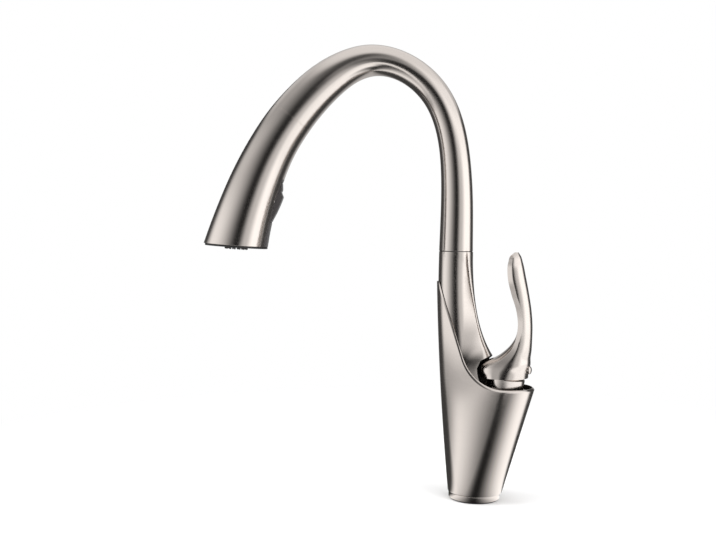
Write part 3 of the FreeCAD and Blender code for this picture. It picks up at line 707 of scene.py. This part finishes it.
def cut(piece, tool, operation="DIFFERENCE"):
    """The piece minus the tool, or their shared part, applied to the mesh."""
    step = piece.modifiers.new("cut", "BOOLEAN")
    step.operation = operation
    step.object = tool
    step.solver = "EXACT"
    step.material_mode = "TRANSFER" if operation == "DIFFERENCE" else "INDEX"
    bpy.context.view_layer.objects.active = piece
    bpy.ops.object.modifier_apply(modifier=step.name)
    bpy.data.objects.remove(tool)
    tidy_normals(piece)
    print(piece.name, "after the cut:", len(piece.data.polygons), "faces")


def block(x0, x1, y0, y1, z0, z1):
    """Corners of a box as two rows of four points."""
    return np.array([[(x0, y0, z), (x1, y0, z), (x1, y1, z), (x0, y1, z)] for z in (z0, z1)], float)


print("cutting tools ready")

# %% Cuts in the column
shelf_h = 9.0
pocket_profile = [(0.01, shelf_h), (27.4, shelf_h), (27.4, 24.0), (24.6, 30.5), (13.5, 38.0), (0.01, 47.0)]
pocket_cols = 160
room_low, room_rows = 80, 60
room_gap, lever_side_gap = 0.2, 0.3
wide_r, wide_reach = 60.0, 20
open_far, open_top = 120, 150
room_z = np.linspace(room_low, flare_free_z, room_rows)[:, None]
room = skirt_point(share, room_z, wall_at(room_z) + room_gap, lever_side_wall + lever_side_gap)
wide_z = np.array([[flare_free_z], [seam_z + wide_reach]])
wide = egg(share, wide_z, column_x - wide_reach + 0 * wide_z, wide_r, column_x + wide_reach, wide_r)
cut(column, cutter("room", np.concatenate([room, wide])), "INTERSECT")
# The pocket and the open side leave their cut walls in the cutter's painted shade.
cut(column, cutter("pocket", on_axis(revolved(pocket_profile, pocket_cols))))
cut(column, cutter("open_side", on_axis(block(0, open_far, -open_far, open_far, shelf_h, open_top))))

# %% [markdown]
# ## Bonnet and base ring
# These are turned pieces: a profile of radius and height, with its corners softened into small arcs so that
# they catch a line of light, spun about the piece's own axis.

# %% Turned pieces
cap_r = 15.9
cap_bore = 10.2
cap_flange_r = 17.8
cap_edge_h = 20.0
cap_edge_r = 0.4
cap_cols = 160
flange_h = shelf_h + 2.5
dome_r = math.hypot(cap_r, cap_edge_h)
dome = [(r, math.sqrt(dome_r ** 2 - r ** 2)) for r in np.linspace(cap_r, cap_bore, 10)]
flange = [(cap_bore, shelf_h), (cap_flange_r, shelf_h), (cap_flange_r, flange_h), (cap_r, flange_h)]
cap_profile = softened(flange + dome, cap_edge_r)
cap_rows = on_axis(revolved(cap_profile, cap_cols))
add_shell("bonnet_dome", cap_rows, "stand", "bonnet_cap", nickel, "nickel")

base_r = 22.4
base_edge_r = 0.6
base_cols = 180
gasket_t = 0.8
neck_r = 15.5
band = [(neck_r, gasket_t), (base_r, gasket_t), (base_r, base_top), (neck_r, base_top)]
base_rows = revolved(softened(band, base_edge_r), base_cols)
add_shell("base_band", base_rows, "stand", "base_ring", nickel, "nickel")

# %% [markdown]
# ## The lever
# A cast lever that rises from a round hub, leans out and comes back in a slow S. Each level has an inner
# arc, two narrow sides and an outer arc, given by five sizes, and those sizes glide from level to level on
# smooth curves. Underneath, the hub is hollowed by a sphere struck from the pivot, so that it clears the
# bonnet dome.

# %% Lever surface
lever_levels = np.array([
    (cap_edge_h, -3.4, 7.2, 20.9, 16.6, 17.6),
    (26.2, -3.4, 7.2, 19.4, 18.9, 18.2),
    (31.7, -1.6, 9.0, 17.6, 17.0, 16.0),
    (37.2, 4.0, 7.8, 15.0, 10.4, 11.6),
    (43.7, 10.0, 5.2, 12.8, 7.6, 9.0),
    (52.7, 13.5, 3.9, 10.8, 3.6, 7.2),
    (65.7, 15.0, 4.6, 9.5, 1.2, 5.0),
    (78.7, 13.2, 4.8, 9.4, 0.8, 5.4),
    (92.7, 8.6, 4.8, 10.0, 0.9, 7.5),
    (107.7, 5.1, 4.8, 10.3, 0.9, 7.7),
    (119.2, 4.8, 4.2, 8.4, 0.8, 5.9),
    (125.3, 6.2, 3.0, 5.4, 0.6, 3.6),
    (127.9, 8.4, 1.4, 2.0, 0.3, 1.3),
])


def gliding(levels, z):
    """Every column of a table at new heights: cubic pieces with averaged slopes."""
    h = levels[:, 0]
    slope = np.gradient(levels[:, 1:], h, axis=0)
    k = np.clip(np.searchsorted(h, z, side="right") - 1, 0, len(h) - 2)
    d = (h[k + 1] - h[k])[:, None]
    t = ((z - h[k])[:, None]) / d
    a, b = levels[k, 1:], levels[k + 1, 1:]
    m0, m1 = slope[k] * d, slope[k + 1] * d
    return a + t * (m0 + t * (3 * (b - a) - 2 * m0 - m1 + t * (m0 + m1 - 2 * (b - a))))


def bow(half, depth, t):
    """Arc over a chord: sideways place and depth, with t from -1 at one end of the turn to 1 at the other."""
    r = (half ** 2 + depth ** 2) / (2 * depth)
    turn = 2 * np.arctan2(depth, half) * t
    return r * np.sin(turn), r * np.cos(turn) - (r - depth)


arc_cols, side_cols = 48, 6
blade_rows, tip_rows, cup_rows = 190, 10, 14
least_bow = 0.05
lever_bevel, bevel_low, bevel_high = 0.1, 37.2, 65.7
tip_z, tip_round = lever_levels[-1, 0], 2.6
lever_z = np.concatenate([np.linspace(cap_edge_h, tip_z - tip_round, blade_rows),
                          tip_z - tip_round * np.linspace(0.9, 0.0, tip_rows) ** 2])
inner_x, edge, half, inner_bow, outer_bow = [c[:, None] for c in gliding(lever_levels, lever_z).T]
across = np.linspace(-1, 1, arc_cols)[None, :]
bevelled = np.clip((lever_z - bevel_low) / (bevel_high - bevel_low), 0, 1)[:, None]
inner_half = half * (1 - lever_bevel * bevelled)
y_in, d_in = bow(inner_half, np.maximum(inner_bow, least_bow), across)
y_out, d_out = bow(half, np.maximum(outer_bow, least_bow), -across)
along = np.linspace(0, 1, side_cols + 2)[None, 1:-1]
x_rows = np.concatenate([inner_x - d_in, inner_x + edge * along, inner_x + edge + d_out,
                         inner_x + edge * (1 - along)], axis=1)
side_y = inner_half + (half - inner_half) * along
y_rows = np.concatenate([y_in, side_y, y_out, -side_y[:, ::-1]], axis=1)
lever_rows = np.stack([x_rows, y_rows, lever_z[:, None] + 0 * x_rows], axis=-1)
cup_gap = 0.5
cup_r = dome_r + cup_gap
cup_edge = math.sqrt(cup_r ** 2 - cap_edge_h ** 2)
hub_dir = lever_rows[0] - np.array([0, 0, cap_edge_h])
hub_dir /= np.linalg.norm(hub_dir, axis=1)[:, None]
cup = hub_dir[None] * (cup_edge * np.linspace(0.02, 1, cup_rows))[:, None, None]
cup[..., 2] = np.sqrt(cup_r ** 2 - cup[..., 0] ** 2 - cup[..., 1] ** 2)
lever_rows = np.concatenate([cup, lever_rows]) + pivot
lever = add_stack("lever_blade", lever_rows, "handle", "lever", nickel, "nickel")

# %% [markdown]
# A small domed plug closes the set screw's hole in the hub. The hole is a hair wider than the plug, so a
# dark ring shows round it: a real gap, with its walls darkened further by painted shade from the cutter.

# %% Plug in the lever's hub
screw_h = 27.4
plug_r = 3.4
plug_cols = 64
plug_seat, plug_side, plug_end = 17.0, 23.6, 25.2
hole_gap = 0.4
hole_end = plug_end + 20


def along_x(rows):
    """Turned rows laid down along X at the height of the set screw."""
    x, y, z = np.moveaxis(rows, -1, 0)
    return np.stack([z, y, -x], axis=-1) + pivot + np.array([0, 0, screw_h])


hole_profile = [(plug_r + hole_gap, plug_seat), (plug_r + hole_gap, hole_end)]
cut(lever, cutter("plug_hole", along_x(revolved(hole_profile, plug_cols))))
dome_turn = np.linspace(0.0, 1.5, 14)
plug_profile = np.concatenate([[(plug_r, plug_seat)], np.stack([
    plug_r * np.cos(dome_turn), plug_side + (plug_end - plug_side) * np.sin(dome_turn)], axis=-1)])
plug_rows = along_x(revolved(plug_profile, plug_cols))
add_stack("hub_plug", plug_rows, "handle", "screw_plug", nickel, "nickel")

# %% [markdown]
# ## Panel and rocker
# A dark panel is let into the column side of the head, narrow at the top and wider towards the face, and
# the rocker that picks stream or spray sits in it. A point of the panel is known by its place down and
# across the panel; the length along the centre line that brings the head's surface there is found by
# halving intervals.

# %% Panel surface
panel_top, panel_low = -22.0, 60.0
panel_top_half, panel_low_half = 7.0, 14.5
panel_depth = 1.1
panel_past_face = 45.0
panel_search = 250.0


def wall_place(points):
    """Distance down the panel of points in the spout's plane."""
    d = points - wall_p
    a = math.pi / 2 + wall_lean
    return d[..., 0] * math.cos(a) - d[..., 2] * math.sin(a)


def panel_rows(down, across, inset):
    """Points of the head's surface at places down and across the panel, moved in, by bisection."""
    low, high = np.full(down.shape, panel_search), np.full(down.shape, head_end)
    for _ in range(halvings):
        mid = (low + high) / 2
        angle = math.pi - np.arcsin(np.clip(across / (radius_at(mid) - inset), -1, 1))
        above = wall_place(tube_point(mid, angle, inset)) < down
        low, high = np.where(above, mid, low), np.where(above, high, mid)
    angle = math.pi - np.arcsin(np.clip(across / (radius_at(low) - inset), -1, 1))
    return tube_point(low, angle, inset)


def panel_shell(grow, outer_inset, inner_inset):
    """Closed thin shell over the panel: an outer and an inner patch of one grid, stitched round the edges."""
    rows, cols = 120, 40
    down = np.linspace(panel_top - grow, panel_past_face, rows)[:, None] + np.zeros((1, cols))
    widen = (panel_low_half - panel_top_half) * (down - panel_top) / (panel_low - panel_top)
    across = np.linspace(-1, 1, cols)[None, :] * (panel_top_half + widen + grow)
    patches = [panel_rows(down, across, inset) for inset in (outer_inset, inner_inset)]
    k = np.arange(rows * cols).reshape(rows, cols)
    quads = np.stack([k[:-1, :-1], k[:-1, 1:], k[1:, 1:], k[1:, :-1]], axis=-1).reshape(-1, 4)
    rim = np.concatenate([k[0, :-1], k[:-1, -1], k[-1, :0:-1], k[:0:-1, 0]])
    after = np.roll(rim, -1)
    sides = np.stack([rim, after, after + rows * cols, rim + rows * cols], axis=-1)
    faces = np.concatenate([quads, quads[:, ::-1] + rows * cols, sides])
    return on_spout(np.concatenate(patches).reshape(-1, 3)), faces


panel = add_piece("selector_panel", *panel_shell(0.0, 0.0, panel_depth), "spray_head", "button_panel",
                  grey_plastic, "grey_plastic")

# %% Panel cuts
recess_gap, recess_proud = 0.12, 2.0
well_top, well_low, well_half = -19.6, 17.6, 6.6
well_floor, well_out = -7, 30
far, far_up = 90, 150


def box_cutter(name, corners, place):
    """A cutter in the shape of a box, put in its place on the spout."""
    return cutter(name, on_spout(place(corners)))


cut(panel, box_cutter("above_face", block(-far, far, -far, far, 0, far_up), on_face), "INTERSECT")
# The recess and the well leave their cut walls in the cutter's painted shade.
cut(head, cutter("panel_recess", *panel_shell(recess_gap, -recess_proud, panel_depth)))
well = block(well_top, well_low, -well_half, well_half, well_floor, well_out)
for piece in (panel, head):
    cut(piece, box_cutter("well", well, on_wall))

# %% [markdown]
# The rocker is one side profile drawn across the panel: a stepped thumb rest above, a bellied key below.
# Its profile shrinks a little over the last half millimetre on each side, which rounds the long edges.

# %% Rocker
button_half = 6.2
button_edge = 0.5
belly = np.linspace(0, 1, 16)[:, None]
crest, belly_mid, tail = np.array([(-7.4, 4.8), (4.0, 3.5), (17.0, 0.7)])
belly_pull = 2 * belly_mid - (crest + tail) / 2
belly_line = (1 - belly) ** 2 * crest + 2 * belly * (1 - belly) * belly_pull + belly ** 2 * tail
thumb_rest = [(-19.0, -3.0), (-19.0, 0.9), (-13.1, 2.6), (-11.0, 2.2)]
button_side = softened(np.concatenate([thumb_rest, belly_line, [(17.0, -3.0)]]), button_edge)
button_middle = np.array([-1.0, -0.5])
edge_turn = np.linspace(0, math.pi / 2, 5)
edge_in = button_edge * (1 - np.sin(edge_turn))
edge_y = button_half - button_edge * (1 - np.cos(edge_turn))
button_y = np.concatenate([-edge_y, edge_y[::-1]])
button_in = np.concatenate([edge_in, edge_in[::-1]])
reach = np.abs(button_side - button_middle)
shrink = np.sign(button_side - button_middle) * np.minimum(reach, 1)
slices = [np.insert(button_side - shrink * d, 1, y, axis=1) for y, d in zip(button_y, button_in)]
button_rows = on_spout(on_wall(np.stack(slices)))
add_stack("selector_rocker", button_rows, "rocker", "rocker_button", grey_plastic, "grey_plastic")

# %% [markdown]
# ## The spray face
# A black bumper ring frames a dark plate. Soft nozzles stand out of it in two rings, each a little cone
# with a round end and a fine hole, and the aerator sits in the middle.

# %% Spray face pieces
plate_seat = 21.6


def turned_on_face(name, profile, radius, cols, node, material, slot):
    """A turned ring with softened corners about the spray face's axis."""
    rows = on_spout(on_face(revolved(softened(profile, radius), cols)))
    add_shell(name, rows, "spray_head", node, material, slot)


bumper = [(plate_seat, -1.8), (27.6, -1.8), (27.6, 0), (24.6, 0), (24.6, 5), (plate_seat, 5)]
turned_on_face("face_bumper", bumper, 0.6, 180, "bumper_ring", black_rubber, "black_rubber")
aerator = [(2.0, -1.4), (3.6, -1.4), (3.6, 3.9), (2.0, 3.9)]
turned_on_face("face_aerator", aerator, 0.4, 64, "aerator", nozzle_rubber, "grey_plastic")

# %% Nozzles
mat_profile = [(3.7, 2.4), (20.0, 2.4), (20.0, 3.9), (3.7, 3.9)]
mat_edge_r = 0.2
nozzle_side = [(1.0, 2.5), (1.0, -1.6), (0.92, -2.6), (0.82, -3.3)]
nozzle_mouth = [(0.62, -3.68), (0.38, -3.8), (0.3, -3.5), (0.3, -1.0)]
nozzle_cols = 20
nozzle_rings = ((8, 5.8), (14, 9.4))
mat = revolved(softened(mat_profile, mat_edge_r))
nozzle = revolved(nozzle_side + nozzle_mouth, nozzle_cols)
nozzle_points = [mat.reshape(-1, 3)]
nozzle_faces = [grid_faces(*mat.shape[:2], True)]
start = len(nozzle_points[0])
for count, ring_r in nozzle_rings:
    for k in range(count):
        a = 2 * math.pi * (k + 0.5) / count
        middle = np.array([ring_r * math.cos(a), ring_r * math.sin(a), 0])
        nozzle_points.append((nozzle + middle).reshape(-1, 3))
        nozzle_faces.append(grid_faces(len(nozzle), nozzle_cols, False, start))
        start += nozzle[..., 0].size
add_piece("face_nozzles", on_spout(on_face(np.concatenate(nozzle_points))), np.concatenate(nozzle_faces),
          "spray_head", "nozzle_mat", nozzle_rubber, "grey_plastic")

# %% [markdown]
# ## The hose
# The braided hose runs along the centre line inside the spout and ends in the head. The stretch near the
# dock, the part a pulled-out head would draw along, is a piece of its own, divided finely, and its braid's UV
# runs with the length that it has half way out. The rest of the hose stays in the spout.

# %% Hose surface
hose_r = 5.5
hose_end = spout_end + 3.75
slack = 262.0
pull = 0.45
hose_cols = 48
still_rows, moving_rows = 90, 320
hose_ring = np.linspace(0, 2 * math.pi, hose_cols + 1)


def hose_stretch(name, s):
    """A stretch of the hose between lengths along the line, with the braid's UV running along it."""
    rows = tube_point(s[:, None] + 0 * hose_ring, hose_ring[None, :] + 0 * s[:, None], radius=hose_r)
    follow = smooth_step(s, slack, hose_end)
    along = (s + follow * pull / 2 / MM) / (2 * math.pi * hose_r)
    k = np.arange(len(s) * (hose_cols + 1)).reshape(len(s), hose_cols + 1)
    faces = np.stack([k[:-1, :-1], k[:-1, 1:], k[1:, 1:], k[1:, :-1]], axis=-1).reshape(-1, 4)
    mesh = bpy.data.meshes.new(name)
    mesh.from_pydata((on_spout(rows).reshape(-1, 3) * MM).tolist(), [], faces.tolist())
    uv = np.stack(np.meshgrid(hose_ring / (2 * math.pi), along), axis=-1).reshape(-1, 2)
    corner = np.empty(len(mesh.loops), int)
    mesh.loops.foreach_get("vertex_index", corner)
    mesh.uv_layers.new(name="along").data.foreach_set("uv", uv[corner].ravel())
    mesh.materials.append(braid)
    mesh.shade_smooth()
    piece = bpy.data.objects.new(name, mesh)
    bpy.context.scene.collection.objects.link(piece)
    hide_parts("pullout_hose")
    print(name, len(mesh.polygons), "faces,", round(s[-1] - s[0]), "mm inside the spout")
    return piece


still_hose = hose_stretch("spray_hose_still", np.linspace(0, slack, still_rows))
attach(still_hose, "spout_arm")
moving_hose = hose_stretch("spray_hose", np.linspace(slack, hose_end, moving_rows))
ends = on_spout(tube_point(np.array([slack, hose_end]), np.zeros(2), radius=0.0)) * MM
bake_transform(moving_hose)

# %% [markdown]
# ## Studio
# A pale floor, a white background and big soft lamps left, right and above. Satin metal is drawn by what it
# mirrors, so a screen that only reflections see stands round the object: dark where the camera stands,
# white at both sides where the lamps are, and dark past them. That gives each tube its dark middle line,
# its bright bands and its dark edges, whichever way the tube runs.

# %% Background
lit_level, seen_level = 0.55, 1.0
world = bpy.data.worlds.new("studio")
bpy.context.scene.world = world
world.use_nodes = True
tree = world.node_tree
back = tree.nodes["Background"]
back.inputs["Color"].default_value = (1, 1, 1, 1)
path = tree.nodes.new("ShaderNodeLightPath")
seen = tree.nodes.new("ShaderNodeMath")
seen.operation = "MAXIMUM"
also = tree.nodes.new("ShaderNodeMath")
also.operation = "MAXIMUM"
level = tree.nodes.new("ShaderNodeMapRange")
level.inputs["To Min"].default_value = lit_level
level.inputs["To Max"].default_value = seen_level
tree.links.new(path.outputs["Is Camera Ray"], seen.inputs[0])
tree.links.new(path.outputs["Is Glossy Ray"], seen.inputs[1])
tree.links.new(seen.outputs["Value"], also.inputs[0])
tree.links.new(path.outputs["Is Transmission Ray"], also.inputs[1])
tree.links.new(also.outputs["Value"], level.inputs["Value"])
tree.links.new(level.outputs["Result"], back.inputs["Strength"])
print("background: white where seen, softer as light")

# %% [markdown]
# The floor is a wide pale disc. Near the object it is plain matt and takes the shadow; further off it fades
# into the white background, so no horizon shows.

# %% Floor
floor_r = 6.0
floor_z = -0.0003
floor_cols = 96
floor_plain, floor_white = 0.12, 0.6
floor_turn = np.linspace(0, 2 * math.pi, floor_cols, endpoint=False)
floor_edge = [(floor_r * math.cos(a), floor_r * math.sin(a), floor_z) for a in floor_turn]
floor_mesh = bpy.data.meshes.new("floor")
floor_mesh.from_pydata(floor_edge, [], [list(range(floor_cols))])
floor = bpy.data.objects.new("floor", floor_mesh)
bpy.context.scene.collection.objects.link(floor)
floor_paint = bpy.data.materials.new("pale_floor")
floor_paint.use_nodes = True
tree = floor_paint.node_tree
shader = tree.nodes["Principled BSDF"]
shader.inputs["Base Color"].default_value = (0.93, 0.93, 0.93, 1)
shader.inputs["Roughness"].default_value = 1.0
shader.inputs["Specular IOR Level"].default_value = 0.0
glow = tree.nodes.new("ShaderNodeEmission")
coords = tree.nodes.new("ShaderNodeTexCoord")
far_off = tree.nodes.new("ShaderNodeVectorMath")
far_off.operation = "LENGTH"
fade = tree.nodes.new("ShaderNodeMapRange")
fade.interpolation_type = "SMOOTHSTEP"
fade.inputs["From Min"].default_value = floor_plain
fade.inputs["From Max"].default_value = floor_white
path = tree.nodes.new("ShaderNodeLightPath")
both = tree.nodes.new("ShaderNodeMath")
both.operation = "MULTIPLY"
mix = tree.nodes.new("ShaderNodeMixShader")
tree.links.new(coords.outputs["Object"], far_off.inputs[0])
tree.links.new(far_off.outputs["Value"], fade.inputs["Value"])
tree.links.new(fade.outputs["Result"], both.inputs[0])
tree.links.new(path.outputs["Is Camera Ray"], both.inputs[1])
tree.links.new(both.outputs["Value"], mix.inputs["Fac"])
tree.links.new(shader.outputs["BSDF"], mix.inputs[1])
tree.links.new(glow.outputs["Emission"], mix.inputs[2])
tree.links.new(mix.outputs["Shader"], tree.nodes["Material Output"].inputs["Surface"])
floor_mesh.materials.append(floor_paint)
print("floor", floor_r, "m")

# %% [markdown]
# The screen is a half ball round the object with a disc for its floor. Its shade follows the bearing, in
# degrees from the camera's side and positive to the right: dark at the camera, bright to both sides, dark
# past that and a little lighter right behind. The bands have their own widths on each stretch of floor and
# wall. In front the floor is dark only near the foot, and high up the wall turns into a pale ceiling.

# %% Screen for reflections
camera_place = np.array([296.7, -783.6, 232.3])
camera_bearing = math.atan2(camera_place[0], -camera_place[1])
screen_r = 0.84
screen_rows, screen_cols = 16, 64
polar = np.linspace(0, math.pi / 2, screen_rows)[1:]
around = np.linspace(0, 2 * math.pi, screen_cols, endpoint=False)
half_ball = np.stack([np.outer(np.sin(polar), np.cos(around)), np.outer(np.sin(polar), np.sin(around)),
                      np.outer(np.cos(polar), np.ones(screen_cols))], axis=-1) * screen_r
screen_mesh = bpy.data.meshes.new("screen")
screen_mesh.from_pydata(half_ball.reshape(-1, 3).tolist(), [], capped(half_ball))
screen = bpy.data.objects.new("screen", screen_mesh)
bpy.context.scene.collection.objects.link(screen)
for kind in ("camera", "diffuse", "transmission", "volume_scatter", "shadow"):
    setattr(screen, "visible_" + kind, False)
floor.visible_glossy = False
print("screen", len(screen_mesh.polygons), "faces")

# %% Maths nodes for the screen's shade
screen_paint = bpy.data.materials.new("screen_paint")
screen_paint.use_nodes = True
tree = screen_paint.node_tree
tree.nodes.remove(tree.nodes["Principled BSDF"])
glow = tree.nodes.new("ShaderNodeEmission")
place = tree.nodes.new("ShaderNodeTexCoord").outputs["Object"]


def worked_out(kind, operation, *values):
    """One maths node of the screen's tree. A value is a plain number, a vector or another node's output."""
    step = tree.nodes.new(kind)
    step.operation = operation
    for socket, value in zip(step.inputs, values):
        if isinstance(value, bpy.types.NodeSocket):
            tree.links.new(value, socket)
        else:
            socket.default_value = value
    return step.outputs["Value"]


def eased(value, start, end, before, after):
    """One shade before the start, another past the end and a smooth change between them."""
    step = tree.nodes.new("ShaderNodeMapRange")
    step.interpolation_type = "SMOOTHSTEP"
    names = ("Value", "From Min", "From Max", "To Min", "To Max")
    for name, given in zip(names, (value, start, end, before, after)):
        if isinstance(given, bpy.types.NodeSocket):
            tree.links.new(given, step.inputs[name])
        else:
            step.inputs[name].default_value = given
    return step.outputs["Result"]


def two_lamps(left, front, right, back, left_fall=(-112, -84), right_rise=(2, 88)):
    """Shade by bearing: smooth steps from the back to the left lamp, front, right lamp and back again."""
    shade = eased(bearing, *left_fall, back, left)
    shade = eased(bearing, *front_fall, shade, front)
    shade = eased(bearing, *right_rise, shade, right)
    shade = eased(bearing, *right_fall, shade, back)
    return eased(behind, *rear_rise, shade, rear)


print("screen paint:", screen_paint.name)

# %% Shade of each stretch of floor and wall
front_fall, right_fall, rear_rise = (-78, -4), (99, 119), (146, 176)
floor_fall = (-98, -66)
haze_rise = (3, 30)
rear = 0.6
ceiling = 1.0
c, d = math.cos(camera_bearing), math.sin(camera_bearing)
ahead = worked_out("ShaderNodeVectorMath", "DOT_PRODUCT", place, (d, -c, 0))
aside = worked_out("ShaderNodeVectorMath", "DOT_PRODUCT", place, (c, d, 0))
height = worked_out("ShaderNodeVectorMath", "DOT_PRODUCT", place, (0, 0, 1))
distance = worked_out("ShaderNodeVectorMath", "LENGTH", place)
bearing = worked_out("ShaderNodeMath", "ARCTAN2", aside, ahead)
bearing = worked_out("ShaderNodeMath", "MULTIPLY", bearing, 180 / math.pi)
behind = worked_out("ShaderNodeMath", "ABSOLUTE", bearing)
near_floor = two_lamps(1.3, 0.015, 1.45, 0.06, left_fall=floor_fall)
mid_floor = two_lamps(1.25, 0.015, 1.4, 0.06, left_fall=floor_fall, right_rise=(-4, 13))
far_floor = two_lamps(0.45, 1.2, 1.35, 0.06)
low_haze = two_lamps(1.2, 0.012, 0.75, 0.07, right_rise=haze_rise)
low_lamp = two_lamps(1.2, 0.012, 1.6, 0.07, right_rise=haze_rise)
low_wall = eased(bearing, 34, 64, low_haze, low_lamp)
high_wall = two_lamps(0.75, 0.025, 1.4, 0.06, right_rise=(-5, 38))
top_wall = two_lamps(0.5, 0.08, 1.2, 0.7, right_rise=(0, 34))
ground = eased(distance, 0.25, 0.34, near_floor, mid_floor)
ground = eased(distance, 0.5, 0.6, ground, far_floor)
wall = eased(height, 0.0, 0.06, far_floor, low_wall)
wall = eased(height, 0.4, 0.52, wall, high_wall)
wall = eased(height, 0.55, 0.64, wall, top_wall)
wall = eased(height, 0.7, 0.8, wall, ceiling)
tree.links.new(eased(height, 0.001, 0.002, ground, wall), glow.inputs["Strength"])
tree.links.new(glow.outputs["Emission"], tree.nodes["Material Output"].inputs["Surface"])
screen_mesh.materials.append(screen_paint)
print("screen shaded by", len(tree.nodes), "nodes")

# %% Lamps
lamp_aim = np.array([0, 0, 0.2])


def lamp(name, place, size, watts):
    """A big soft square lamp that looks at the middle of the object and doesn't show in the metal."""
    data = bpy.data.lights.new(name, "AREA")
    data.size = size
    data.energy = watts
    light = bpy.data.objects.new(name, data)
    bpy.context.scene.collection.objects.link(light)
    light.location = place
    aim = lamp_aim - np.array(place)
    tip = math.acos(-aim[2] / np.linalg.norm(aim))
    light.rotation_euler = Euler((tip, 0, math.atan2(aim[1], aim[0]) - math.pi / 2), "XYZ")
    light.visible_glossy = False
    print(name, watts, "W")


lamp("lamp_left", (-1.2, -0.9, 0.9), 1.0, 16)
lamp("lamp_right", (1.3, -0.3, 0.9), 1.0, 12)
lamp("lamp_top", (0.0, -0.1, 1.7), 1.2, 14)

# %% Camera
view_turn = math.radians(28.0)
view_drop = math.radians(2.29)
view_roll = math.radians(1.0)
photo_width, focal_px = 716, 950
camera_data = bpy.data.cameras.new("portrait")
camera_data.sensor_width = 36.0
camera_data.lens = camera_data.sensor_width * focal_px / photo_width
camera = bpy.data.objects.new("portrait", camera_data)
bpy.context.scene.collection.objects.link(camera)
camera.location = camera_place * MM
camera.rotation_mode = "XYZ"
aim = Euler((math.pi / 2 - view_drop, 0, view_turn), "XYZ").to_matrix() @ Matrix.Rotation(view_roll, 3, "Z")
camera.rotation_euler = aim.to_euler("XYZ")
bpy.context.scene.camera = camera
bpy.context.scene.view_settings.view_transform = "Standard"
print("camera with a", round(camera_data.lens, 1), "mm lens")
